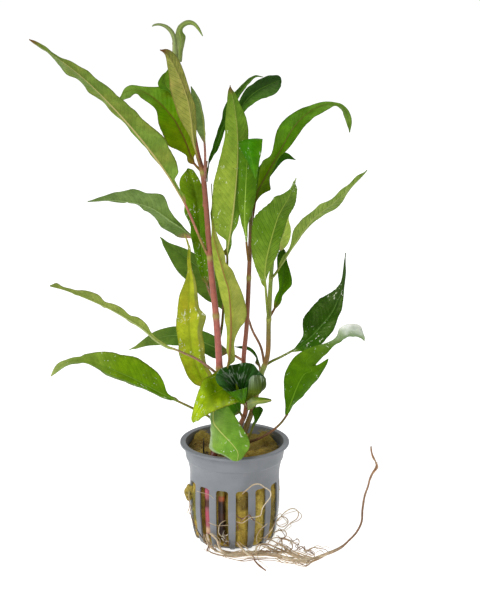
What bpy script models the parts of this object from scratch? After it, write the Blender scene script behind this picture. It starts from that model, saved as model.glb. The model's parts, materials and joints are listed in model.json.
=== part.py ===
"""An aquarium plant, hygrophila, in a small slotted net pot with rock wool and roots.

Metres, +Z up. The origin is the centre of the pot's flat underside. The lists of route points and
sizes below are in millimetres, and MM turns them into metres.
"""

import math

import bmesh
import bpy
from mathutils import Vector

MM = 0.001
GAP = 0.3  # between pieces that touch
MERGE_DISTANCE = 0.00001

POT_SEGMENTS = 28
POT_WALL = 0.9
RIM_RADIUS = 27.5
RIM_TOP = 52.0
RIM_OPENING = 24.6
FLANGE = 1.2
EDGE = 0.3
COLLAR_RADIUS = 25.5
COLLAR_BOTTOM = 46.5
BASE_RADIUS = 16.5
WALL_PROFILE = ((24.6, 45.8), (22.9, 43.6), (22.7, 18.0), (20.8, 6.7), (18.6, 1.6))
RIBS = 14
RIB_WIDTH = 3.9
FIRST_RIB_ANGLE = -3.3
SLOT_TOP = 33.0
SLOT_ROUNDING = 1.3
SLOT_INNER_RADIUS = 16.3
SLOT_REACH = 16.0
SLOT_BELOW = 6.5
FLOOR_THICKNESS = 1.3
DRAIN_RING_RADIUS = 9.5
DRAIN_RADIUS = 2.2
DRAIN_HOLES = 6

WOOL_TOP = 46.5
WOOL_BOTTOM = 2.4
WOOL_SEGMENTS = 21
WOOL_TOP_RINGS = (0.28, 0.54, 0.78, 0.94)  # shares of the wool's reach
WOOL_SIDE_RINGS = (47.2, 44.0, 38.0, 28.0, 16.0, 8.0, 3.4)  # heights
WOOL_CLEARANCE = 0.5
WOOL_RIPPLE = 0.6
WOOL_RIPPLES = 5  # around the plug
WOOL_RIPPLE_START = 20.0
WOOL_RIPPLE_PITCH = 28.5
SIDE_GAP_ANGLE = 85.0
SIDE_GAP_HALF_ANGLE = 35.0
SIDE_GAP = 2.4
RECESS_ANGLE = -31.0
RECESS_HALF_ANGLE = 27.0
RECESS_DEPTH = 7.5
RECESS_TOP = 39.0
RECESS_FADE = 5.0
POCKET_ROOM = 1.0
LUMPS = ((-17.0, 13.0, 5.0, 6.0), (15.0, 13.5, 4.5, 5.0), (0.0, 18.0, 8.0, 2.0), (12.0, -9.0, 6.5, 1.5),
         (-13.0, -2.0, 7.0, 1.2))

PETIOLE_RADIUS = 0.6
LEAF_THICKNESS = 1.1
MARGIN_SHARE = 0.42
TIP_HALF_WIDTH = 0.25

STEMS = {
    "pink_stem": dict(
        pocket_from=31,
        radii=(2.0, 1.9, 1.6, 1.3, 0.8),
        route=[(-12.4, -12.4, 7), (-13, -12.8, 30), (-11.5, -12.6, 45), (-8, -9, 56), (-7.5, -6, 74),
               (-7.5, -6, 92), (-9, -5, 117.5), (-11.5, -3, 142), (-14, -1, 176), (-15.5, 0, 190),
               (-18, 2, 199.5), (-21, 5, 215), (-24.5, 6, 230.5), (-27, 6, 243), (-28.5, 6, 249)],
    ),
    "brown_stem": dict(
        pocket_from=31,
        radii=(1.5, 1.3, 1.2, 1.1, 0.9),
        route=[(-6.5, -15.4, 7), (-6.4, -16, 30), (-4.8, -14.7, 45), (-1, -8.5, 54), (2.5, -4, 61),
               (5.5, -2, 68), (5.5, -2, 80), (4.5, -2, 94.5), (6, -1, 112.5), (7, 0, 135), (8, 2, 166.5),
               (7.5, 4, 178)],
    ),
    "olive_stem": dict(
        pocket_from=36,
        radii=(1.6, 1.4, 1.3, 1.2, 0.9),
        route=[(2.6, -6, 37), (3.2, -5.5, 48), (5, -4, 58), (9, -3, 69.5), (13.5, -1, 87.5), (16.5, 0, 97.5),
               (17, 2, 114.5), (18, 4, 135.5), (19.5, 6, 151.5)],
    ),
}


def leaf_row(stem, rib, face, left, right, petiole, widest, full=0.9, tip=0.0, fine=False, stations=9):
    """One leaf. rib is the midrib's route from the stem to the tip. face is where the upper side looks,
    near the stem and near the tip. left and right are, seen on the upper side with the tip up, the
    half-width, the angle at the midrib and the further bend out to the margin. petiole is the stalk's
    length, widest is how far along the blade the widest place is, full rounds the outline, and tip is
    the share of the width that a blunt tip keeps."""
    return dict(stem=stem, rib=rib, face=face, left=left, right=right, petiole=petiole, widest=widest,
                full=full, tip=tip, fine=fine, stations=stations)


LEAVES = {
    "pink_tip_left": leaf_row(
        "pink_stem", [(-28.5, 6, 248), (-29.5, 5.5, 253.5), (-32, 4, 259), (-36, 2, 261.5), (-39, 0, 260.5)],
        [(-0.8, -0.5, 0.3), (-0.2, -0.6, 0.8)], (1.8, 15, 0), (1.8, 15, 0), 1, 0.5, stations=6),
    "pink_tip_right": leaf_row(
        "pink_stem", [(-27.2, 6, 243), (-24.5, 8, 251), (-24, 10, 257.5), (-21, 11, 260.5), (-17.5, 12, 259),
                      (-15, 12, 255)],
        [(0.6, -0.7, 0), (0.2, -0.5, 0.9)], (2.4, 10, 10), (2.4, 10, 10), 3, 0.5, stations=7),
    "pink_leaf_behind_tip": leaf_row(
        "pink_stem", [(-24.3, 6, 226.5), (-29, 11, 227), (-33, 15, 229.5), (-34, 18, 233.5),
                      (-32.5, 20, 237)],
        [(0.2, -0.9, 0.3), (0.3, -0.9, 0.3)], (3.8, 10, 0), (3.6, 10, 0), 3, 0.5, stations=6),
    "pink_leaf_pale": leaf_row(
        "pink_stem", [(-15.5, 0, 190), (-18.5, -2.5, 200.5), (-20, -4, 207), (-21, -6, 217.5),
                      (-22.5, -8, 227), (-26.5, -10, 239), (-31.5, -12, 249), (-35, -13, 252)],
        [(-0.2, 0.9, 0.2), (-0.4, 0.8, 0.4)], (3.9, 12, 10), (5.6, 12, 10), 9, 0.5),
    "pink_leaf_arched": leaf_row(
        "pink_stem", [(-15.5, 0, 190), (-20, 3, 194.5), (-23, 6, 202), (-26, 9, 208), (-30, 12, 214.5),
                      (-38, 16, 222.5), (-46, 18, 227), (-53, 17, 226.5), (-57, 14, 222)],
        [(0.3, -0.8, 0.3), (0.0, -0.75, 0.65)], (8.8, 10, 5, 0.27), (5.4, 10, 5, 0.5), 6, 0.5, fine=True),
    "pink_leaf_edge_on": leaf_row(
        "pink_stem", [(-14.5, -1, 186), (-14.2, 0, 199.5), (-15, 1, 209.5), (-16.5, 1, 220.5),
                      (-18.5, 0, 226.5), (-21, -2, 232.5)],
        [(-0.9, 0.45, 0), (-0.8, 0.6, 0)], (4.2, 15, 10), (4.2, 15, 10), 18, 0.45),
    "pink_leaf_dark_back": leaf_row(
        "pink_stem", [(-14.2, -1, 179), (-12.5, 3, 189), (-10.5, 8, 197), (-7.5, 14, 206), (-4, 19, 215),
                      (0, 23, 223), (4, 26, 229), (8.5, 28, 231.5), (14, 30, 232.5)],
        [(-0.2, -0.9, 0.3), (-0.3, -0.7, 0.6)], (3.4, 10, 0), (4.6, 10, 0), 14, 0.5),
    "pink_leaf_longest": leaf_row(
        "pink_stem", [(-13, -2.5, 149), (-16.5, -5, 157.5), (-24.5, -8, 177.5), (-35.5, -11, 197),
                      (-50, -15, 217), (-67.5, -20, 237), (-81, -25, 249.5), (-94.5, -30, 259.5)],
        [(0.1, 0.9, 0.3), (0.2, 0.85, 0.5)], (6.8, 10, 0, 0.36), (4.2, 20, 0, 0.62), 30, 0.5, full=0.8,
        stations=11),
    "pink_leaf_left": leaf_row(
        "pink_stem", [(-10.4, -3.8, 130), (-11, 2.5, 134), (-14.5, 6.5, 142), (-19, 8.5, 152),
                      (-24, 8.5, 159), (-32, 5, 165.5), (-40, 2, 172), (-48, -1, 175.5),
                      (-60.5, -5, 178), (-71, -9, 178)],
        [(0.1, 0.5, 0.8), (0.1, 0.8, 0.6), (0.1, 0.85, 0.5)], (7.8, 10, 0, 0.55), (5.6, 10, 0, 0.28), 32, 0.42),
    "pink_leaf_glossy": leaf_row(
        "pink_stem", [(-8.8, -5, 114), (-10, -1, 123.5), (-13.5, 1, 133), (-16, 3, 148), (-17, 5, 162.5),
                      (-19, 8, 177), (-23, 12, 189.5)],
        [(0.1, -0.95, 0.2), (0.2, -0.9, 0.3)], (7.0, 15, 0), (6.6, 15, 0), 21, 0.55, full=0.75),
    "pink_leaf_tall": leaf_row(
        "pink_stem", [(-8, -5.5, 104), (-6.2, -1.5, 113), (-5.2, 0, 126), (-3.6, -2, 143), (-3.4, -4.5, 151.5),
                      (-2, -6, 161), (0, -7, 177.5), (1.5, -8, 196), (1.5, -10, 211.5), (0, -12, 225),
                      (-2, -15, 235.5)],
        [(0.2, 0.95, 0), (0, 0.95, 0.2)], (6.0, 12, 0), (11.2, 5, 5), 46, 0.42, full=1.1, fine=True,
        stations=11),
    "pink_leaf_folded": leaf_row(
        "pink_stem", [(-7.4, -6, 82), (-4.5, -9, 89.5), (-2.5, -11, 100.5), (-1.5, -12.5, 116.5),
                      (-2.5, -12.5, 133), (-4.5, -10.5, 140), (-7.6, -8, 150.5), (-10, -4.2, 159.5),
                      (-10.4, 0.5, 171), (-11.2, 2.5, 184)],
        [(0.1, 0.95, 0), (0.2, 0.9, 0.1)], (9.4, 25, 0, 0.31), (6.0, 25, 0, 0.44), 13, 0.3, full=2.6,
        stations=11),
    "pink_leaf_yellow": leaf_row(
        "pink_stem", [(-7.5, -6, 80), (-10.5, -10, 81), (-14.6, -9.5, 85.5), (-18, -9, 92), (-20.8, -9, 101),
                      (-22.2, -9, 112), (-22.5, -8, 125.5), (-22, -6, 137.5), (-22, -5, 146.5),
                      (-22.5, -4, 154), (-24.5, -3, 160)],
        [(0.2, -0.95, 0.2), (0.1, -0.95, 0.2)], (7.2, 8, 8), (6.8, 8, 8), 9, 0.38, full=1.2, fine=True),
    "pink_leaf_narrow": leaf_row(
        "pink_stem", [(-7.5, -6, 87), (-10, -11, 92), (-18, -15, 99.5), (-27, -17, 104.5),
                      (-36.5, -18, 109.5), (-46, -19, 118), (-61, -21, 128), (-79, -24, 137),
                      (-88.5, -26, 140.5)],
        [(0.0, 0.55, 0.85), (0.1, 0.7, 0.7)], (4.4, 20, 0), (4.0, 20, 0), 30, 0.4, full=0.7, tip=0.25),
    "pink_leaf_low_left": leaf_row(
        "pink_stem", [(-7.8, -8, 62), (-12.5, -13, 69), (-20.5, -16, 74.5), (-36.5, -20, 84),
                      (-53.5, -25, 95), (-72, -30, 103.5), (-81.5, -33, 103.5), (-88.5, -35, 97.5)],
        [(0.0, -0.7, 0.7), (-0.1, -0.75, 0.65)], (4.6, 10, 0), (9.2, 5, 5, 0.44), 28, 0.5, full=0.75,
        fine=True),
    "brown_leaf_bent_over": leaf_row(
        "brown_stem", [(6.8, 0, 142), (6, -5, 152), (5.5, -8.5, 161), (6, -11, 172.5), (7.5, -12, 182),
                       (7, -14, 194.5), (7.5, -16, 206), (8, -19, 209.3), (8.5, -22, 207),
                       (9, -23, 200.5), (10, -23, 191.5)],
        [(0.1, 0.95, 0.1), (0.1, 0.95, 0.1), (0.1, 0.9, 0.3), (0.0, 0.95, -0.2), (0.1, -1.0, -0.2)],
        (3.4, 8, 0), (5.6, 8, 5), 12, 0.62, full=0.7, fine=True, stations=13),
    "brown_leaf_back": leaf_row(
        "brown_stem", [(7.8, 3, 172), (6.5, 7, 187), (4.5, 10, 201), (4, 12, 212), (6, 14, 219.5),
                       (10.5, 16, 225.5), (16.5, 18, 229.5), (23.5, 21, 231)],
        [(0.2, -0.95, 0.1), (-0.2, -0.8, 0.5)], (5.0, 10, 0), (5.0, 10, 0), 14, 0.6, full=0.6, tip=0.45),
    "brown_leaf_arching": leaf_row(
        "brown_stem", [(8, 2, 161.5), (9.5, 5, 170), (11, 8, 177.5), (15, 11, 185), (22, 14, 197),
                       (29.5, 17, 209.5), (38, 19, 217), (47, 20, 220), (54.5, 20, 217), (57, 19, 206)],
        [(-0.2, -0.9, 0.3), (-0.1, -0.5, 0.85), (0.6, -0.6, 0.5)], (7.4, 8, 0), (4.6, 8, 0), 12, 0.45,
        full=0.9, stations=11),
    "brown_leaf_behind_arch": leaf_row(
        "brown_stem", [(7.7, 3.6, 174), (10, 13, 178), (14.5, 19, 185.5), (20, 22, 191), (25, 24, 193),
                       (30.5, 26, 191)],
        [(0.1, -0.9, 0.3), (0.1, -0.7, 0.6)], (3.8, 10, 0), (3.8, 10, 0), 8, 0.45, stations=7),
    "brown_leaf_left": leaf_row(
        "brown_stem", [(4.6, -2, 94.5), (0, 4, 95.5), (-5, 8, 96.5), (-12.5, 12, 98.5), (-22.5, 16, 101.5),
                       (-33, 20, 101), (-43, 23, 97.5), (-54, 25, 92)],
        [(0.1, -0.8, 0.6), (0.0, -0.85, 0.5)], (4.2, 8, 0), (5.6, 8, 0), 12, 0.42, full=0.75),
    "brown_leaf_lime": leaf_row(
        "brown_stem", [(5.6, -2, 70), (2.5, -11.5, 76.5), (-2, -18, 80.5), (-10, -23, 82), (-16, -26, 77.5),
                       (-21, -28, 71.5)],
        [(0.1, -0.75, 0.65), (-0.2, -0.9, 0.35)], (4.2, 5, 0), (11.5, 12, 5, 0.36), 7, 0.5, full=0.75,
        fine=True, stations=8),
    "brown_leaf_cup": leaf_row(
        "brown_stem", [(5.6, -2, 73), (6, -9, 77), (6, -14, 80), (5.6, -17, 85), (5.2, -17, 90),
                       (5, -15, 97)],
        [(0.1, -0.3, 0.95), (0.1, -0.9, 0.4), (0.1, -0.95, 0.1)], (14.5, 5, 25), (13.5, 0, 100), 14, 0.55,
        full=0.8, tip=0.5, fine=True, stations=8),
    "brown_leaf_low": leaf_row(
        "brown_stem", [(4.2, -3, 65), (2, -7.5, 71), (0, -8.6, 76), (-0.4, -8.2, 83), (0, -7, 88)],
        [(0.3, -0.9, 0.3), (0.3, -0.9, 0.1)], (2.8, 5, 0), (2.8, 5, 0), 3, 0.5, stations=6),
    "brown_leaf_over_rim": leaf_row(
        "brown_stem", [(2.5, -4, 61), (0, -9, 66), (-5, -14, 72), (-9.5, -17, 74), (-11.8, -20.5, 71),
                       (-9, -24, 67.5), (-5, -27, 64), (-0.5, -29.5, 60), (4, -32, 55.2)],
        [(0.2, -0.4, 0.9), (0.2, -0.7, 0.7), (0.1, -0.9, 0.4)], (9.8, 3, 0, 0.3), (9.8, 3, 5, 0.47), 29, 0.4,
        full=0.85, tip=0.3, fine=True, stations=9),
    "olive_leaf_large": leaf_row(
        "olive_stem", [(17, 2, 114.5), (16, -2, 123.5), (15, -6, 141.5), (16.5, -8, 153), (20.5, -11, 169),
                       (23, -12, 175), (26, -14, 181), (29.5, -17, 191)],
        [(0.1, 0.95, 0.1), (0.1, 0.9, 0.3)], (7.4, 10, 0, 0.6), (10.0, 5, 5, 0.4), 20, 0.42, full=0.85, fine=True),
    "olive_leaf_pale": leaf_row(
        "olive_stem", [(19.3, 6, 149), (22.5, 11, 153.5), (25, 14, 160), (26.5, 15, 168)],
        [(-0.2, 0.9, 0.3), (-0.2, 0.9, 0.3)], (4.0, 10, 0), (4.0, 10, 0), 2, 0.5, stations=6),
    "olive_leaf_right": leaf_row(
        "olive_stem", [(18, 4, 135.5), (20.5, 0, 139.5), (25.5, -2, 149), (33, -4.5, 161.5),
                       (39, -6, 169.5), (47.5, -8, 177), (55.5, -10, 185), (63.5, -12, 194)],
        [(-0.2, 0.8, 0.5), (-0.2, 0.85, 0.4)], (4.6, 8, 0), (4.8, 8, 0), 9, 0.45, full=0.8),
    "olive_leaf_dark": leaf_row(
        "olive_stem", [(17, 2, 115.5), (20, 6.5, 119.5), (22.5, 9, 125), (24, 11, 131), (24.5, 13, 137.5),
                       (24, 16, 148)],
        [(-0.2, -0.95, 0.2), (-0.2, -0.95, 0.2)], (4.0, 12, 0), (4.4, 12, 0), 6, 0.45, stations=8),
    "olive_leaf_glossy": leaf_row(
        "olive_stem", [(15.2, 0, 91.5), (18.5, 2.5, 93), (23.5, 4, 95), (30.5, 6, 98.5), (38, 9, 103.5),
                       (43.5, 11, 109), (49.5, 14, 116), (53.5, 17, 126), (55, 20, 135.5),
                       (55.5, 22, 144)],
        [(-0.3, -0.8, 0.5), (-0.5, -0.85, 0.2)], (8.2, 10, 0, 0.36), (6.2, 10, 0, 0.4), 15, 0.42, full=1.4,
        fine=True, stations=11),
    "olive_leaf_far_left": leaf_row(
        "olive_stem", [(15, 0, 91), (13.2, 5, 99.5), (9, 9, 107), (5.5, 12, 116), (0, 15, 122),
                       (-10, 18, 130.5), (-22.5, 20, 140.5), (-31.5, 22, 147), (-37.5, 23, 152)],
        [(0.2, -0.9, 0.3), (0.2, -0.9, 0.3)], (9.6, 10, 0, 0.52), (5.6, 10, 0), 28, 0.5, full=0.7),
    "olive_leaf_curved": leaf_row(
        "olive_stem", [(13.2, -1, 87), (12.3, 2.5, 91), (10.5, 4, 95.5), (6.5, 6, 98.5), (0, 8, 99)],
        [(0.1, -0.9, 0.5), (0.1, -0.9, 0.5)], (1.3, 5, 0), (1.3, 5, 0), 4, 0.5, stations=6),
    "olive_leaf_small": leaf_row(
        "olive_stem", [(8.5, -3, 69), (10.5, -8, 74), (13.5, -10, 76.5), (18.5, -12, 77.3)],
        [(-0.2, 0.1, 0.95), (-0.1, -0.5, 0.85)], (3.6, 10, 0), (4.4, 10, 0), 3, 0.4, full=0.7, stations=6),
    "olive_leaf_low_right": leaf_row(
        "olive_stem", [(3.8, -5, 52), (8, -7.5, 54), (16, -9.5, 58.5), (25, -11, 69.5), (30, -13, 80),
                       (34.5, -14, 87.5), (40, -15, 95.5), (47, -16, 104.5), (53, -17, 112.5),
                       (58.5, -19, 117), (63, -22, 113)],
        [(-0.3, -0.9, 0.3), (-0.4, -0.8, 0.5), (0.2, -0.6, 0.8)], (10.0, 8, 5), (4.4, 8, 0), 34, 0.42,
        full=0.8, tip=0.15, fine=True, stations=12),
    "olive_leaf_sprout": leaf_row(
        None, [(6.0, -1.5, 47.6), (7.2, -3, 54), (9.5, -5, 62), (11.6, -6, 67), (12.6, -5.4, 71.8)],
        [(-0.2, -0.9, 0.3), (-0.2, -0.9, 0.3)], (2.8, 12, 0), (3.2, 12, 0), 13, 0.6, full=0.7,
        stations=7),
}

ROOTS = {
    "root_long": dict(
        points=22,
        radii=(0.7, 0.9, 1.1, 0.8, 0.35),
        route=[(-14, -20.5, 2.5), (-10.5, -23.5, 1.5), (-5, -26, 1.3), (4, -27, 1.3), (14, -26.8, 1.3),
               (22, -28.6, 1.3), (29, -32.2, 1.3), (36, -33.2, 1.3), (42, -30.8, 1.4), (47.5, -29.5, 2.8),
               (54.4, -28, 6.9), (60.4, -26, 12.5), (63.3, -24, 20), (64.4, -21.8, 29.5),
               (67.4, -18.5, 38.5), (70.8, -16, 44), (68, -14.5, 54.5)],
    ),
    "root_bundle": dict(
        points=12,
        radii=(0.6, 0.8, 0.8, 0.6, 0.4),
        route=[(-13, -21.5, 6.5), (-9, -27.5, 4.4), (0, -30.2, 1.2), (10, -30.4, 1.2), (19, -31.8, 1.2),
               (26.5, -36, 1.2), (35, -40, 1.2)],
    ),
    "root_front": dict(
        points=9,
        radii=(0.5, 0.45, 0.35),
        route=[(1.1, -23.2, 5.9), (4.4, -27.6, 4.2), (7.6, -31.4, 2.9), (10.1, -35.6, 1.6),
               (12.1, -40, 0.9), (15.2, -45.4, 0.7)],
    ),
    "root_loop": dict(
        points=18,
        radii=(0.5, 0.5, 0.4),
        route=[(4, -23.9, 31.7), (7, -23.6, 36), (11, -22.4, 39), (14, -20.8, 37.3), (16.8, -18.6, 34.5),
               (15.6, -19.4, 29.8), (13.2, -21.2, 24.6), (11, -22.6, 20.7), (6.2, -23.9, 18.6),
               (1.4, -24.2, 17.2)],
    ),
    "root_side_loops": dict(
        points=18,
        radii=(0.45, 0.45, 0.35),
        route=[(21, -12.6, 14), (25.5, -11.6, 18), (30.7, -10.4, 18.8), (31.6, -11, 15), (28, -13, 11.5),
               (26.4, -16, 7.5), (27.4, -18.6, 4.4), (33, -22, 2), (40, -24, 3), (44, -27, 1.4)],
    ),
    "root_left": dict(
        points=9,
        radii=(0.4, 0.4, 0.3),
        route=[(-19.5, -14.5, 30), (-22.5, -15.5, 26), (-22.5, -16, 20), (-20.5, -17, 14), (-17.5, -20, 8.5)],
    ),
}

COLOURS = {
    "pot": (0.21, 0.24, 0.26), "rock_wool": (0.30, 0.22, 0.05), "pink_stem": (0.50, 0.16, 0.14),
    "brown_stem": (0.26, 0.10, 0.06), "olive_stem": (0.22, 0.20, 0.05), "root": (0.55, 0.42, 0.26),
    "leaf_yellow": (0.40, 0.50, 0.04), "leaf_pale": (0.34, 0.45, 0.12), "leaf_green": (0.10, 0.27, 0.02),
    "leaf_dark": (0.03, 0.10, 0.01),
}
PALE = ("pink_leaf_pale", "pink_leaf_narrow", "pink_leaf_folded", "olive_leaf_pale", "olive_leaf_small")
YELLOW = ("pink_leaf_yellow", "brown_leaf_lime")
DARK = ("pink_leaf_dark_back", "brown_leaf_back", "olive_leaf_glossy", "olive_leaf_dark", "brown_leaf_cup",
        "brown_leaf_low", "olive_leaf_far_left", "brown_leaf_left", "brown_leaf_behind_arch")


def clear_scene():
    for old in list(bpy.data.objects):
        bpy.data.objects.remove(old)


def new_collection(name):
    made = bpy.data.collections.new(name)
    bpy.context.scene.collection.children.link(made)
    return made


def material(name, roughness=0.5):
    made = bpy.data.materials.get(name)
    if made is None:
        made = bpy.data.materials.new(name)
        made.use_nodes = True
        shader = made.node_tree.nodes["Principled BSDF"]
        shader.inputs["Base Color"].default_value = (*COLOURS[name], 1.0)
        shader.inputs["Roughness"].default_value = roughness
        shader.inputs["Metallic"].default_value = 0.0
    return made


def add_object(name, mesh, collection, look, roughness=0.5):
    made = bpy.data.objects.new(name, mesh)
    made.data.materials.append(material(look, roughness))
    collection.objects.link(made)
    return made


def smooth_path(points, count):
    """Points at even distances along a smooth curve through the given points."""
    knots = [Vector(p) for p in points]
    knots = [2 * knots[0] - knots[1], *knots, 2 * knots[-1] - knots[-2]]
    dense = []
    steps = 16
    for a, b, c, d in zip(knots, knots[1:], knots[2:], knots[3:]):
        for i in range(steps):
            t = i / steps
            dense.append(0.5 * (2 * b + (c - a) * t + (2 * a - 5 * b + 4 * c - d) * t * t
                                + (3 * b - a - 3 * c + d) * t ** 3))
    dense.append(knots[-2])
    lengths = [0.0]
    for a, b in zip(dense, dense[1:]):
        lengths.append(lengths[-1] + (b - a).length)
    placed = []
    at = 0
    for i in range(count):
        goal = lengths[-1] * i / (count - 1)
        while at < len(dense) - 2 and lengths[at + 1] < goal:
            at += 1
        share = (goal - lengths[at]) / max(lengths[at + 1] - lengths[at], 1e-9)
        placed.append(dense[at].lerp(dense[at + 1], min(max(share, 0.0), 1.0)))
    return placed


def along(values, share):
    """The value at a share of the way along an evenly spaced list of numbers or vectors."""
    place = min(max(share, 0.0), 1.0) * (len(values) - 1)
    first = min(int(place), len(values) - 2)
    rest = place - first
    return values[first] * (1 - rest) + values[first + 1] * rest


def tube(name, route, radii, collection, look, points, roughness=0.5):
    """A tapering closed tube along a smooth route."""
    curve = bpy.data.curves.new(name, "CURVE")
    curve.dimensions = "3D"
    curve.bevel_depth = MM
    curve.bevel_resolution = 1
    curve.use_fill_caps = True
    spline = curve.splines.new("POLY")
    spline.points.add(points - 1)
    for i, place in enumerate(smooth_path(route, points)):
        spline.points[i].co = (*(place * MM), 1.0)
        spline.points[i].radius = along(radii, i / (points - 1))
    return add_object(name, curve, collection, look, roughness)


def wall_radius(height):
    """Outer radius of the pot's wall at a height."""
    rows = ((COLLAR_RADIUS, RIM_TOP), (COLLAR_RADIUS, COLLAR_BOTTOM), *WALL_PROFILE, (BASE_RADIUS, 0.0))
    for (upper_radius, upper), (lower_radius, lower) in zip(rows, rows[1:]):
        if height >= lower:
            share = (height - lower) / (upper - lower)
            return lower_radius + (upper_radius - lower_radius) * min(share, 1.0)
    return BASE_RADIUS


def pot_profile():
    """Radius and height: the underside, the outer wall, the rim, the inner wall and the inner floor."""
    wall = [(COLLAR_RADIUS, COLLAR_BOTTOM), *WALL_PROFILE]
    profile = [(0.0, 0.0), (BASE_RADIUS, 0.0), *reversed(wall)]
    profile += [(COLLAR_RADIUS, RIM_TOP - FLANGE), (RIM_RADIUS, RIM_TOP - FLANGE),
                (RIM_RADIUS, RIM_TOP - EDGE), (RIM_RADIUS - EDGE, RIM_TOP),
                (RIM_OPENING + EDGE, RIM_TOP), (RIM_OPENING, RIM_TOP - EDGE), (RIM_OPENING, COLLAR_BOTTOM)]
    profile += [(radius - POT_WALL, height) for radius, height in WALL_PROFILE]
    profile.append((0.0, FLOOR_THICKNESS))
    return profile


def cutting_object(name, work, cutters, target):
    """Puts the mesh that work holds in the scene as a hidden cutter, and cuts it out of the target."""
    mesh = bpy.data.meshes.new(name)
    work.to_mesh(mesh)
    work.free()
    cutter = bpy.data.objects.new(name, mesh)
    cutters.objects.link(cutter)
    cutter.hide_render = True
    cutter.display_type = "WIRE"
    cut = target.modifiers.new(name, "BOOLEAN")
    cut.operation = "DIFFERENCE"
    cut.solver = "EXACT"
    cut.object = cutter
    return cutter


def round_bar(radius, length):
    work = bmesh.new()
    bmesh.ops.create_cone(work, cap_ends=True, segments=10, radius1=radius * MM, radius2=radius * MM,
                          depth=length * MM)
    return work


def slot_shape():
    """A block as wide as a slot, with rounded upper corners. It reaches below the pot."""
    width = 2 * math.pi * WALL_PROFILE[1][0] / RIBS - RIB_WIDTH
    work = bmesh.new()
    bmesh.ops.create_cube(work, size=1.0)
    bmesh.ops.scale(work, vec=(width * MM, SLOT_REACH * MM, (SLOT_TOP + SLOT_BELOW) * MM), verts=work.verts)
    upper = [e for e in work.edges if all(v.co.z > 0 for v in e.verts)
             and abs(e.verts[0].co.x - e.verts[1].co.x) < MM / 1000]
    bmesh.ops.bevel(work, geom=upper, offset=SLOT_ROUNDING * MM, segments=1, affect="EDGES", profile=0.5)
    return work


def build_pot(parts, cutters):
    profile = pot_profile()
    mesh = bpy.data.meshes.new("pot")
    edges = [(i, i + 1) for i in range(len(profile) - 1)]
    mesh.from_pydata([(radius * MM, 0, height * MM) for radius, height in profile], edges, [])
    pot = add_object("pot", mesh, parts, "pot", 0.45)
    screw = pot.modifiers.new("turned", "SCREW")
    screw.axis = "Z"
    screw.steps = POT_SEGMENTS
    screw.render_steps = POT_SEGMENTS
    screw.use_merge_vertices = True
    screw.merge_threshold = MERGE_DISTANCE
    pot.rotation_euler = (0, 0, math.radians(FIRST_RIB_ANGLE - 90))
    for i in range(RIBS):
        angle = math.radians(FIRST_RIB_ANGLE + (i + 0.5) * 360 / RIBS)
        cutter = cutting_object("slot_%02d" % i, slot_shape(), cutters, pot)
        middle = SLOT_INNER_RADIUS + SLOT_REACH / 2
        cutter.location = Vector((middle * math.sin(angle), -middle * math.cos(angle),
                                  (SLOT_TOP - SLOT_BELOW) / 2)) * MM
        cutter.rotation_euler = (0, 0, angle)
    for i in range(DRAIN_HOLES):
        angle = 2 * math.pi * i / DRAIN_HOLES
        cutter = cutting_object("drain_%d" % i, round_bar(DRAIN_RADIUS, 4 * FLOOR_THICKNESS), cutters, pot)
        cutter.location = Vector((math.cos(angle), math.sin(angle), 0)) * DRAIN_RING_RADIUS * MM
    return pot


def wool_limit(angle, height):
    """How far out the wool reaches at an angle from the front (degrees, right is positive)."""
    inner = RIM_OPENING if height > COLLAR_BOTTOM else wall_radius(height) - POT_WALL
    off = (angle - RECESS_ANGLE + 180) % 360 - 180
    below = min(max((RECESS_TOP - height) / RECESS_FADE, 0.0), 1.0)
    recess = RECESS_DEPTH * max(0.0, 1 - (off / RECESS_HALF_ANGLE) ** 4) * below
    around = math.sin(math.radians(WOOL_RIPPLES * angle + WOOL_RIPPLE_START))
    ripple = WOOL_RIPPLE * (0.5 + 0.5 * around * math.cos(2 * math.pi * height / WOOL_RIPPLE_PITCH))
    above = 1 - min(max((WOOL_TOP - height) / RECESS_FADE, 0.0), 1.0)
    gap = SIDE_GAP * math.exp(-((angle - SIDE_GAP_ANGLE) / SIDE_GAP_HALF_ANGLE) ** 2) * above
    return inner - WOOL_CLEARANCE - recess - ripple - gap


def wool_top(x, y):
    height = WOOL_TOP + 0.5 * math.sin(0.45 * x + 0.8) * math.cos(0.5 * y)
    for lump_x, lump_y, size, rise in LUMPS:
        height += rise * math.exp(-((x - lump_x) ** 2 + (y - lump_y) ** 2) / size ** 2)
    return height


def cut_pocket(wool, cutters, name, stem):
    """Room in the wool for a stem: a straight hole along the stem's line from the recess to the top."""
    path = smooth_path(stem["route"], 200)
    low = min(path, key=lambda p: abs(p.z - stem["pocket_from"]))
    high = min(path, key=lambda p: abs(p.z - WOOL_TOP))
    line = high - low
    bar = round_bar(stem["radii"][0] + POCKET_ROOM, line.length * 1.6)
    cutter = cutting_object("pocket_" + name, bar, cutters, wool)
    cutter.location = (low + line * 0.7) * MM
    cutter.rotation_euler = line.to_track_quat("Z", "Y").to_euler()


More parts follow.
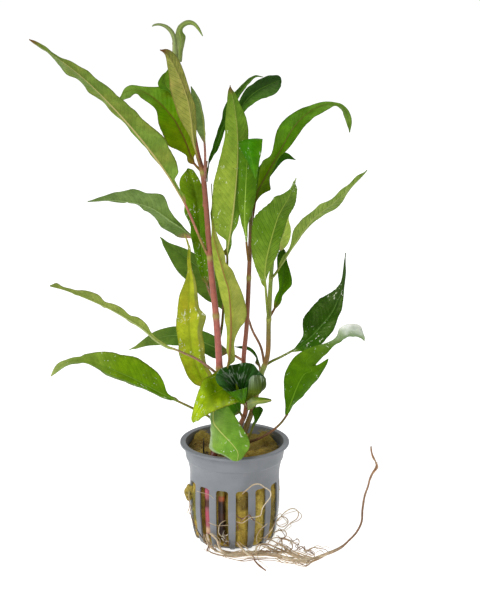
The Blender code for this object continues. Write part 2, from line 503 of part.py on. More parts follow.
def build_wool(parts, cutters):
    """A plug that fills the pot below the rim, with a recess at the front left where two stems stand."""
    rings = [(share, None) for share in WOOL_TOP_RINGS] + [(1.0, height) for height in WOOL_SIDE_RINGS]
    work = bmesh.new()
    bmesh.ops.create_uvsphere(work, u_segments=WOOL_SEGMENTS, v_segments=len(rings) + 1, radius=1.0)
    for v in work.verts:
        ring = round(math.acos(min(max(v.co.z, -1.0), 1.0)) / math.pi * (len(rings) + 1))
        angle = math.degrees(math.atan2(v.co.x, -v.co.y))
        if ring == 0:
            share, height = 0.0, None
        elif ring > len(rings):
            share, height = 0.0, WOOL_BOTTOM
        else:
            share, height = rings[ring - 1]
        reach = share * wool_limit(angle, WOOL_SIDE_RINGS[0] if height is None else height)
        x, y = reach * math.sin(math.radians(angle)), -reach * math.cos(math.radians(angle))
        v.co = Vector((x, y, wool_top(x, y) if height is None else height)) * MM
    mesh = bpy.data.meshes.new("rock_wool")
    work.to_mesh(mesh)
    work.free()
    wool = add_object("rock_wool", mesh, parts, "rock_wool", 0.95)
    for name, stem in STEMS.items():
        cut_pocket(wool, cutters, name, stem)
    return wool


def outline(share, row, widest):
    """Width of the blade at a share of its length, from 0 to 1."""
    if share <= 0:
        return 0.0
    power = math.log(0.5) / math.log(widest)
    around = math.sin(math.pi * min(share, 1.0) ** power)
    width = max(around, 0.0) ** row["full"]
    if share > widest:
        width = max(width, row["tip"] * (1 - 0.5 * (share - widest)))
    return width


def side_points(half_width, fold, bend, steps):
    """Out and up from the midrib to the margin, for a side that is folded and bent upward."""
    out, up = 0.0, 0.0
    made = [(0.0, 0.0)]
    for i in range(steps):
        angle = math.radians(fold + bend * (i + 0.5) / steps)
        out += half_width / steps * math.cos(angle)
        up += half_width / steps * math.sin(angle)
        made.append((out, up))
    return made


def clear_of_stem(path, stem_name):
    """How many points at the leaf's start lie inside its stem or closer than the gap."""
    if stem_name is None:
        return 0
    stem = STEMS[stem_name]
    count = 160
    axis = smooth_path(stem["route"], count)
    for i, place in enumerate(path):
        near = min(range(count), key=lambda k: (axis[k] - place).length)
        room = along(stem["radii"], near / (count - 1)) + PETIOLE_RADIUS + GAP
        if (axis[near] - place).length > room * 1.06:
            return i
    return 0


def leaf_colour(name):
    for colour, names in (("leaf_pale", PALE), ("leaf_yellow", YELLOW), ("leaf_dark", DARK)):
        if name in names:
            return colour
    return "leaf_green"


def build_leaf(name, row, parts):
    path = smooth_path(row["rib"], 241)
    start = clear_of_stem(path, row["stem"])
    path = path[start:]
    length = sum((b - a).length for a, b in zip(path, path[1:]))
    petiole_share = max(row["petiole"] - start * length / 240, 1.5) / length
    steps = 2 if row["fine"] else 1
    blade_rows = row["stations"]
    petiole_rows = 2 + int(row["petiole"] > 14) + int(row["petiole"] > 28)
    shares = [petiole_share * i / petiole_rows for i in range(petiole_rows)]
    shares += [petiole_share + (1 - petiole_share) * i / (blade_rows - 1) for i in range(blade_rows)]
    work = bmesh.new()
    across = 2 * steps
    bmesh.ops.create_grid(work, x_segments=across, y_segments=len(shares) - 1, size=1.0)
    faces = [Vector(f).normalized() for f in row["face"]]
    for v in work.verts:
        column = round((v.co.x + 1) / 2 * across) - steps
        station = round((v.co.y + 1) / 2 * (len(shares) - 1))
        share = shares[station]
        here = along(path, share)
        ahead = along(path, min(share + 0.02, 1.0))
        behind = along(path, max(share - 0.02, 0.0))
        forward = (ahead - behind).normalized()
        right = forward.cross(along(faces, share)).normalized()
        up = right.cross(forward)
        side = row["right"] if column > 0 else row["left"]
        blade_share = (share - petiole_share) / (1 - petiole_share)
        widest = side[3] if len(side) > 3 else row["widest"]
        width = outline(blade_share, row, widest)
        floor_width = PETIOLE_RADIUS if blade_share < 0.5 else TIP_HALF_WIDTH
        half_width = max(side[0] * width, floor_width)
        flatness = min(width * 2, 1.0)
        made = side_points(half_width, side[1] * flatness, side[2] * flatness, steps)
        out, rise = made[abs(column)]
        v.co = (here + right * math.copysign(out, column) + up * rise) * MM
    mesh = bpy.data.meshes.new(name)
    work.to_mesh(mesh)
    work.free()
    leaf = add_object(name, mesh, parts, leaf_colour(name), 0.4)
    group = leaf.vertex_groups.new(name="thickness")
    for i, v in enumerate(mesh.vertices):
        column = i % (across + 1) - steps
        station = i // (across + 1)
        petiole = station < petiole_rows
        rib = 1.0 if petiole else 1.0 - 0.4 * (station - petiole_rows) / blade_rows
        margin = 0.75 if petiole else MARGIN_SHARE
        weight = rib * (1 - abs(column) / steps) + margin * abs(column) / steps
        group.add([i], weight, "REPLACE")
    solid = leaf.modifiers.new("thickness", "SOLIDIFY")
    solid.thickness = LEAF_THICKNESS * MM
    solid.offset = 0.0
    solid.vertex_group = group.name
    for face in mesh.polygons:
        face.use_smooth = True
    return leaf


def build():
    clear_scene()
    parts = new_collection("hygrophila")
    cutters = new_collection("cutters")
    build_pot(parts, cutters)
    build_wool(parts, cutters)
    for name, row in STEMS.items():
        tube(name, row["route"], row["radii"], parts, name, 18)
    for name, row in LEAVES.items():
        build_leaf(name, row, parts)
    for name, row in ROOTS.items():
        tube(name, row["route"], row["radii"], parts, "root", row["points"], 0.8)


build()
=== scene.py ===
"""Looks of the hygrophila in its net pot.

Lengths in the tables are in millimetres in the object's frame, and MM turns them into metres. Colours are
sRGB hex values, as seen in the photograph.
"""

import json
import math

import bmesh
import bpy
import numpy as np
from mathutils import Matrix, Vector, noise


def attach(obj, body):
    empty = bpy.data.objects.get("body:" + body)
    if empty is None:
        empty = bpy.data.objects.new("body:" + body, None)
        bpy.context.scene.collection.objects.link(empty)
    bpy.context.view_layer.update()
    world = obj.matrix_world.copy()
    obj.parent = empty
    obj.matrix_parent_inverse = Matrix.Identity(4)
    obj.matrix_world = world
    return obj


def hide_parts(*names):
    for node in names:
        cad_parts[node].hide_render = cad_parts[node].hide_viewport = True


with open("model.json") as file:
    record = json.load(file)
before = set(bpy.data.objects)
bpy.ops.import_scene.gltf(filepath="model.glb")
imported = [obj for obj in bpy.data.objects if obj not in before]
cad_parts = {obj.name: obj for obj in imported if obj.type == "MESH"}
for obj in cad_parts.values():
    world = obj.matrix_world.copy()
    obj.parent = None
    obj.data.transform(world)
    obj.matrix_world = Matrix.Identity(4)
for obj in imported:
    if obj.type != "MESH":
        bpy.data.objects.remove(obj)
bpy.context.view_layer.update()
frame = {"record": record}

MM = 0.001
RNG = np.random.default_rng(7)  # for the loose fibres only
CURVE_STEPS = 16

# The photograph's camera: where it stands (mm), how far it looks down, and its focal length in pixels.
CAMERA = Vector((2.7, -950.0, 398.0))
LOOKING_DOWN = math.radians(16)
FOCAL_PIXELS = 1999.0
PHOTO_SIZE = (480, 600)

# The pot, in mm and degrees. WALL_PROFILE holds radius and height of the wall's corners, from the collar down.
POT_SEGMENTS = 140
POT_WALL = 0.9
RIM_RADIUS = 27.5
RIM_TOP = 52.0
RIM_OPENING = 24.6
FLANGE = 1.3
COLLAR_RADIUS = 25.3
COLLAR_BOTTOM = 46.5
BASE_RADIUS = 18.0
FOOT_RING_RADIUS = 14.0
FOOT_RISE, FOOT_RISE_RADIUS = 0.35, 13.5
RIM_TAPER = 0.15
WALL_RADIUS = 22.8
WALL_PROFILE = ((24.9, 46.3), (24.5, 43.7), (23.9, 43.1), (23.3, 40.5), (22.7, 37.5), (22.6, 34.0), (22.85, 28.0),
                (22.8, 18.0), (21.6, 6.4), (20.2, 1.4))
CORNER_STEPS = 4
EDGE_BEVEL = 0.22
BEVELLED_FROM, SHARP_FROM = 50, 38
WALL_ROUNDING = (1.5, 0.22, 0.22, 1.5, 2.0, 3.0, 4.0, 5.0, 3.5, 1.5)
RIBS = 14
RIB_WIDTH = 3.9
FIRST_RIB_ANGLE = -3.3
SLOT_TOP = 33.0
SLOT_ROUNDING = 1.5
SLOT_INNER_RADIUS = 16.3
SLOT_REACH = 16.0
SLOT_BELOW = 6.5
FLOOR_THICKNESS = 1.3
DRAIN_RING_RADIUS = 9.5
DRAIN_RADIUS = 2.2
DRAIN_HOLES = 6

# The wool. A place on its surface is an angle from the front and a share of the way from the middle of the
# top over the edge and down to the foot, and then in to the middle of the underside.
WOOL_TOP = 46.5
WOOL_BOTTOM = 1.7
WOOL_EDGE_SHARE = 0.34
WOOL_FOOT_SHARE = 0.92
WOOL_EDGE_LEVEL = 47.2
WOOL_EDGE_CEILING = 47.8
WOOL_SIDE_TOP = 47.6
WOOL_TURNS = 260
WOOL_ROWS = 190
WOOL_CLEARANCE = 0.45
WOOL_BULGE = 0.95
# The bulge in a slot: how far from the rib's middle it starts and over what it grows, as shares of half the
# distance between ribs, and the same below the slot's top (mm).
BULGE_FROM, BULGE_OVER = 0.42, 0.25
BULGE_BELOW, BULGE_FADE = 1.5, 2.5
# The wool narrows towards the foot, below this height (mm), and again on its underside.
WOOL_FOOT_HEIGHT, WOOL_FOOT_TAPER, WOOL_UNDERSIDE_INSET = 4, 0.5, 1.2
# A gap between the wool's top and the rim, on the right: depth (mm), angle, spread and height (mm).
SIDE_GAP, SIDE_GAP_ANGLE, SIDE_GAP_SPREAD, SIDE_GAP_HEIGHT = 2.6, 85, 35, 5
# The hollow in the wool's side where two stems show through the slots.
RECESS_ANGLE = -31.0
RECESS_HALF_ANGLE = 25.0
RECESS_DEPTH = 6.0
RECESS_TOP = 39.0
RECESS_BOTTOM = 3.5
RECESS_TOP_FADE, RECESS_BOTTOM_FADE = 6, 3
# Lumps of the wool's top: middle across and back, reach and rise (mm).
LUMPS = ((-17.5, 13.0, 5.0, 6.0), (15.5, 13.5, 4.5, 5.0), (0.0, 18.0, 8.0, 2.0), (12.0, -9.0, 6.5, 1.5),
         (-13.0, -2.0, 7.0, 1.2))
# Loose fibres: how many, the share of them on the wool's top, and their lengths and radii (mm).
FIBRES = 5200
FIBRES_ON_TOP = 0.55
FIBRE_LENGTHS = (1.2, 4.5)
FIBRE_RADII = (0.05, 0.11)
# Patches of the wool's colour, and one of painted shade along the slit: middle (mm), reach in each direction,
# colour.
WOOL_TONES_AND_SLIT_SHADE = (
    ((12.9, -17.0, 15.0), (5.5, 7.0, 12.0), "#cdb656"), ((-22.4, -5.0, 26.0), (4.0, 5.0, 5.0), "#dcc860"),
    ((11.0, -7.0, 47.0), (8.0, 8.0, 4.0), "#ccac40"), ((-18.6, 5.0, 47.0), (6.0, 6.0, 4.0), "#785f1a"),
    ((4.5, -20.0, 27.0), (4.0, 5.0, 5.0), "#7a6420"), ((-20.5, -9.0, 20.0), (5.0, 5.0, 9.0), "#857f30"),
    ((-14.0, -12.0, 47.5), (2.0, 7.0, 3.0), "#3c2c12"), ((20.5, -10.0, 16.0), (4.0, 5.0, 9.0), "#8c7c34"))
# A clump of wool that hangs out of the leftmost slot: middle and half-sizes (mm).
CLUMP = ((-22.4, -5.0, 26.0), (2.8, 3.0, 3.8))
CLUMP_TURNS = 28
CLUMP_ROWS = 20
# The slit at the left of the wool's top, drawn as a near-black strand that is painted shade of its depth: pixels
# and distance behind the pot's axis (mm).
SLIT = (203.8, 457.0, -6.5), (203.6, 447.0, -6.5), (203.9, 437.6, -6.5)

# The studio, in metres and watts: each area light's name, place, target, size and power, the world's strength
# for the object and for the camera, and the white floor.
LIGHTS = (("key", (-0.7, -0.7, 0.9), (0, 0, 0.13), (0.5, 0.5), 9.0),
          ("fill", (0.8, -0.6, 0.5), (0, 0, 0.13), (0.5, 0.7), 0.4),
          ("back", (0.3, 0.9, 0.9), (0, 0, 0.15), (0.8, 0.5), 3.0))
WORLD_LIGHT = (0.38, 1.0)
FLOOR_REACH = 3.0
FLOOR_GLOW = 0.74

# The stems: rings of points along one, points in each ring, how far a node reaches (mm) and how much it
# swells, its colour, and the depth of the grooves along a stem as a share of its radius.
STEM_RINGS = 260
STEM_SIDES = 20
NODE_REACH, NODE_SWELL = 1.3, 0.16
NODE_COLOUR = "#a8b04a"
STEM_GROOVE = 0.035

# The leaves. Numbers of points along a midrib and across half a blade, and along and across a folded blade.
# The steps are the distances between rows of points (mm), and BLADE_START is how far the stalk widens.
ROUTE_POINTS = 481
HALF_STEPS = 10
STALK_STEP = 1.6
BLADE_STEP = 0.7
BLADE_START = 5.0
SHORTEST_STALK = 1.5
TOOTH_SPACING, TOOTH_DEPTH = 2.1, 0.07
SHEET_ROWS = 70
SHEET_COLUMNS = 45
SHEET_LENGTH = 50.0
STALK_RINGS = 24
SEED_STEP = 0.37
DROP_CLUSTER = 4.0
DROPS_TOGETHER = 14
DROP_HEIGHT = 0.42
DROP_RADII = (0.08, 0.14)
DROP_STRETCH = (1.2, 5.0)
DROP_TURNS, DROP_RINGS = 8, 3
# Side veins: the distance between them (mm), and how far they run towards the tip on their way out.
VEIN_SPACING = 2.9
VEIN_LEAD, VEIN_CURVE, VEIN_WAVER = 0.95, 1.6, 2.2
PETIOLE_RADIUS = 0.62
LEAF_THICKNESS = 0.34
MIDRIB_THICKNESS = 0.95
TIP_HALF_WIDTH = 0.2
# The furrow over the midrib, and the keel below it: depth and reach to each side (mm).
FURROW_DEPTH, FURROW_REACH = 0.24, 0.9
KEEL_REACH = 0.42
# The share of the blade to each side of a place that gives the way it runs there.
AHEAD = 0.012
# The tint of a leaf's other side, which the camera doesn't see, and how far that side takes it.
OTHER_IS_UNDER, OTHER_IS_UPPER = ("#8fae5c", 0.55), ("#2f7010", 0.6)

STEMS = {
    "pink_stem": dict(
        streak="#7a4a34", radii=(2.05, 1.9, 1.6, 1.3, 0.8),
        route=[(-12.4, -12.4, 7), (-13, -12.8, 30), (-11.5, -12.6, 45), (-8, -9, 56), (-7.5, -6, 74),
               (-7.5, -6, 92), (-9, -5, 117.5), (-11.5, -3, 142), (-14, -1, 176), (-15.5, 0, 190),
               (-18, 2, 199.5), (-21, 5, 215), (-24.5, 6, 230.5), (-27, 6, 243), (-28.5, 6, 249)],
        colours=("#b8606c", "#b05c66", "#74402c", "#c26a62", "#b96656", "#a8604c", "#9c5a42", "#91543a",
                 "#885e38", "#848c40"),
        node_heights=(68, 92, 119, 148, 190, 213),
        patches=((31.0, 3.0, "#cf5f7c"), (23.6, 2.4, "#5a2c20"), (17.0, 2.6, "#c9566c"), (9.2, 1.6, "#dcb490"),
                 (48.0, 2.0, "#6f3420")),
    ),
    "brown_stem": dict(
        streak="#62381c", radii=(1.9, 1.3, 1.2, 1.15, 0.9),
        route=[(-6.5, -15.4, 7), (-6.4, -16, 30), (-4.8, -14.7, 45), (-1, -8.5, 54), (2.5, -4, 61),
               (5.5, -2, 68), (5.5, -2, 80), (4.5, -2, 94.5), (6, -1, 112.5), (7, 0, 135), (8, 2, 166.5),
               (7.5, 4, 178)],
        colours=("#4c2d20", "#5a3322", "#8a5a38", "#a06840", "#b06650", "#a45c44", "#8f522f", "#7f4c2a",
                 "#7a5a2c", "#7a8630"),
        node_heights=(74, 137),
        patches=((30.0, 1.6, "#a89440"), (27.2, 1.3, "#c4683c"), (22.0, 3.0, "#3a221a"), (12.0, 4.0, "#3a241c")),
    ),
    "olive_stem": dict(
        streak="#66581a", radii=(1.7, 1.4, 1.3, 1.2, 0.9),
        route=[(2.6, -6, 37), (3.2, -5.5, 48), (5, -4, 58), (9, -3, 69.5), (13.5, -1, 87.5), (16.5, 0, 97.5),
               (17, 2, 114.5), (18, 4, 135.5), (19.5, 6, 151.5)],
        colours=("#64541a", "#75621c", "#80682a", "#8a742a", "#8a6a2c", "#946c30", "#868430", "#849030",
                 "#80a034", "#88a83c"),
        node_heights=(91, 115, 136),
        patches=((88.0, 4.0, "#8f9a48"),),
    ),
}


def leaf_row(rib, face, left, right, petiole, widest, full=0.9, tip=0.0):
    """One leaf. rib is the midrib's route from the stem to the tip. face is where the upper side looks,
    near the stem and near the tip. left and right are, seen on the upper side with the tip up, the
    half-width, the angle at the midrib and the further bend out to the margin, and sometimes that side's
    own widest place. petiole is the stalk's length, widest is how far along the blade the widest place is,
    full rounds the outline, and tip is the share of the width that a blunt tip keeps."""
    return dict(rib=rib, face=face, left=left, right=right, petiole=petiole, widest=widest, full=full, tip=tip)


LEAVES = {
    "pink_leaf_behind_tip": leaf_row(
        [(-24.3, 6, 226.5), (-29, 11, 227), (-33, 15, 229.5), (-34, 18, 233.5), (-32.5, 20, 237)],
        [(0.2, -0.9, 0.3), (0.3, -0.9, 0.3)], (3.8, 10, 0), (3.6, 10, 0), 3, 0.5),
    "pink_leaf_pale": leaf_row(
        [(-15.5, 0, 190), (-18.5, -2.5, 200.5), (-20, -4, 207), (-21, -6, 217.5), (-22.5, -8, 227),
         (-26.5, -10, 239), (-31.5, -12, 249), (-35, -13, 252)],
        [(-0.2, 0.9, 0.2), (-0.4, 0.8, 0.4)], (3.9, 12, 10), (5.6, 12, 10), 9, 0.5),
    "pink_leaf_arched": leaf_row(
        [(-15.5, 0, 190), (-20, 3, 194.5), (-23, 6, 202), (-26, 9, 208), (-30, 12, 214.5), (-38, 16, 222.5),
         (-46, 18, 227), (-53, 17, 226.5), (-57, 14, 222)],
        [(0.3, -0.8, 0.3), (0.0, -0.75, 0.65)], (8.8, 10, 5, 0.27), (5.4, 10, 5, 0.5), 6, 0.5),
    "pink_leaf_edge_on": leaf_row(
        [(-14.5, -1, 186), (-14.2, 0, 199.5), (-15, 1, 209.5), (-16.5, 1, 220.5), (-18.5, 0, 226.5),
         (-21, -2, 232.5)],
        [(-0.9, 0.45, 0), (-0.8, 0.6, 0)], (4.2, 15, 10), (4.2, 15, 10), 18, 0.45),
    "pink_leaf_longest": leaf_row(
        [(-13, -2.5, 149), (-16.5, -5, 157.5), (-24.5, -8, 177.5), (-35.5, -11, 197), (-50, -15, 217),
         (-67.5, -20, 237), (-81, -25, 249.5), (-94.5, -30, 259.5)],
        [(0.1, 0.9, 0.3), (0.2, 0.85, 0.5)], (6.8, 10, 0, 0.36), (4.2, 20, 0, 0.62), 30, 0.5, full=0.8),
    "pink_leaf_left": leaf_row(
        [(-10.4, -3.8, 130), (-11, 2.5, 134), (-14.5, 6.5, 142), (-19, 8.5, 152), (-24, 8.5, 159), (-32, 5, 165.5),
         (-40, 2, 172), (-48, -1, 175.5), (-60.5, -5, 178), (-71, -9, 178)],
        [(0.1, 0.5, 0.8), (0.1, 0.8, 0.6), (0.1, 0.85, 0.5)], (7.8, 10, 0, 0.55), (5.6, 10, 0, 0.28), 32, 0.42),
    "pink_leaf_glossy": leaf_row(
        [(-8.8, -5, 114), (-10, -1, 123.5), (-13.5, 1, 133), (-16, 3, 148), (-17, 5, 162.5), (-19, 8, 177),
         (-23, 12, 189.5)],
        [(0.1, -0.95, 0.2), (0.2, -0.9, 0.3)], (7.0, 15, 0), (6.6, 15, 0), 21, 0.55, full=0.75),
    "pink_leaf_tall": leaf_row(
        [(-8, -5.5, 104), (-6.2, -1.5, 113), (-5.2, 0, 126), (-3.6, -2, 143), (-3.4, -4.5, 151.5), (-2, -6, 161),
         (0, -7, 177.5), (1.5, -8, 196), (1.5, -10, 211.5), (0, -12, 225), (-2, -15, 235.5)],
        [(0.2, 0.95, 0), (0, 0.95, 0.2)], (6.0, 12, 0), (11.2, 5, 5), 46, 0.42, full=1.1),
    "pink_leaf_folded": leaf_row(
        [(-7.4, -6, 82), (-4.5, -9, 89.5), (-2.5, -11, 100.5), (-1.5, -12.5, 116.5), (-2.5, -12.5, 133),
         (-4.5, -10.5, 140), (-7.6, -8, 150.5), (-10, -4.2, 159.5), (-10.4, 0.5, 171), (-11.2, 2.5, 184)],
        [(0.1, 0.95, 0), (0.2, 0.9, 0.1)], (9.4, 25, 0, 0.31), (6.0, 25, 0, 0.44), 13, 0.3, full=2.6),
    "pink_leaf_yellow": leaf_row(
        [(-7.5, -6, 80), (-10.5, -10, 81), (-14.6, -9.5, 85.5), (-18, -9, 92), (-20.8, -9, 101), (-22.2, -9, 112),
         (-22.5, -8, 125.5), (-22, -6, 137.5), (-22, -5, 146.5), (-22.5, -4, 154), (-24.5, -3, 160)],
        [(0.2, -0.95, 0.2), (0.1, -0.95, 0.2)], (7.2, 8, 8), (6.8, 8, 8), 9, 0.38, full=1.2),
    "pink_leaf_narrow": leaf_row(
        [(-7.5, -6, 87), (-10, -11, 92), (-18, -15, 99.5), (-27, -17, 104.5), (-36.5, -18, 109.5), (-46, -19, 118),
         (-61, -21, 128), (-79, -24, 137), (-88.5, -26, 140.5)],
        [(0.0, 0.55, 0.85), (0.1, 0.7, 0.7)], (4.4, 20, 0), (4.0, 20, 0), 30, 0.4, full=0.7, tip=0.25),
    "pink_leaf_low_left": leaf_row(
        [(-7.8, -8, 62), (-12.5, -13, 69), (-20.5, -16, 74.5), (-36.5, -20, 84), (-53.5, -25, 95),
         (-72, -30, 103.5), (-81.5, -33, 103.5), (-88.5, -35, 97.5)],
        [(0.0, -0.7, 0.7), (-0.1, -0.75, 0.65)], (4.6, 10, 0), (9.2, 5, 5, 0.44), 28, 0.5, full=0.75),
    "brown_leaf_arching": leaf_row(
        [(8, 2, 161.5), (9.5, 5, 170), (11, 8, 177.5), (15, 11, 185), (22, 14, 197), (29.5, 17, 209.5),
         (38, 19, 217), (47, 20, 220), (54.5, 20, 217), (57, 19, 206)],
        [(-0.2, -0.9, 0.3), (-0.1, -0.5, 0.85), (0.6, -0.6, 0.5)], (7.4, 8, 0), (4.6, 8, 0), 12, 0.45, full=0.9),
    "brown_leaf_behind_arch": leaf_row(
        [(7.7, 3.6, 174), (10, 13, 178), (14.5, 19, 185.5), (20, 22, 191), (25, 24, 193), (30.5, 26, 191)],
        [(0.1, -0.9, 0.3), (0.1, -0.7, 0.6)], (3.8, 10, 0), (3.8, 10, 0), 8, 0.45),
    "brown_leaf_left": leaf_row(
        [(4.6, -2, 94.5), (0, 4, 95.5), (-5, 8, 96.5), (-12.5, 12, 98.5), (-22.5, 16, 101.5), (-33, 20, 101),
         (-43, 23, 97.5), (-54, 25, 92)],
        [(0.1, -0.8, 0.6), (0.0, -0.85, 0.5)], (4.2, 8, 0), (5.6, 8, 0), 12, 0.42, full=0.75),
    "brown_leaf_low": leaf_row(
        [(4.2, -3, 65), (2, -7.5, 71), (0, -8.6, 76), (-0.4, -8.2, 83), (0, -7, 88)],
        [(0.3, -0.9, 0.3), (0.3, -0.9, 0.1)], (2.8, 5, 0), (2.8, 5, 0), 3, 0.5),
    "olive_leaf_large": leaf_row(
        [(17, 2, 114.5), (16, -2, 123.5), (15, -6, 141.5), (16.5, -8, 153), (20.5, -11, 169), (23, -12, 175),
         (26, -14, 181), (29.5, -17, 191)],
        [(0.1, 0.95, 0.1), (0.1, 0.9, 0.3)], (7.4, 10, 0, 0.6), (10.0, 5, 5, 0.4), 20, 0.42, full=0.85),
    "olive_leaf_pale": leaf_row(
        [(19.3, 6, 149), (22.5, 11, 153.5), (25, 14, 160), (26.5, 15, 168)],
        [(-0.2, 0.9, 0.3), (-0.2, 0.9, 0.3)], (4.0, 10, 0), (4.0, 10, 0), 2, 0.5),
    "olive_leaf_right": leaf_row(
        [(18, 4, 135.5), (20.5, 0, 139.5), (25.5, -2, 149), (33, -4.5, 161.5), (39, -6, 169.5), (47.5, -8, 177),
         (55.5, -10, 185), (63.5, -12, 194)],
        [(-0.2, 0.8, 0.5), (-0.2, 0.85, 0.4)], (4.6, 8, 0), (4.8, 8, 0), 9, 0.45, full=0.8),
    "olive_leaf_dark": leaf_row(
        [(17, 2, 115.5), (20, 6.5, 119.5), (22.5, 9, 125), (24, 11, 131), (24.5, 13, 137.5), (24, 16, 148)],
        [(-0.2, -0.95, 0.2), (-0.2, -0.95, 0.2)], (4.0, 12, 0), (4.4, 12, 0), 6, 0.45),
    "olive_leaf_glossy": leaf_row(
        [(15.2, 0, 91.5), (18.5, 2.5, 93), (23.5, 4, 95), (30.5, 6, 98.5), (38, 9, 103.5), (43.5, 11, 109),
         (49.5, 14, 116), (53.5, 17, 126), (55, 20, 135.5), (55.5, 22, 144)],
        [(-0.3, -0.8, 0.5), (-0.5, -0.85, 0.2)], (8.2, 10, 0, 0.36), (6.2, 10, 0, 0.4), 15, 0.42, full=1.4),
    "olive_leaf_far_left": leaf_row(
        [(15, 0, 91), (13.2, 5, 99.5), (9, 9, 107), (5.5, 12, 116), (0, 15, 122), (-10, 18, 130.5),
         (-22.5, 20, 140.5), (-31.5, 22, 147), (-37.5, 23, 152)],
        [(0.2, -0.9, 0.3), (0.2, -0.9, 0.3)], (9.6, 10, 0, 0.52), (5.6, 10, 0), 28, 0.5, full=0.7),
    "olive_leaf_curved": leaf_row(
        [(13.2, -1, 87), (12.3, 2.5, 91), (10.5, 4, 95.5), (6.5, 6, 98.5), (0, 8, 99)],
        [(0.1, -0.9, 0.5), (0.1, -0.9, 0.5)], (1.3, 5, 0), (1.3, 5, 0), 4, 0.5),
    "olive_leaf_sprout": leaf_row(
        [(6.0, -1.5, 47.6), (7.2, -3, 54), (9.5, -5, 62), (11.6, -6, 67), (12.6, -5.4, 71.8)],
        [(-0.2, -0.9, 0.3), (-0.2, -0.9, 0.3)], (2.8, 12, 0), (3.2, 12, 0), 13, 0.6, full=0.7),
}


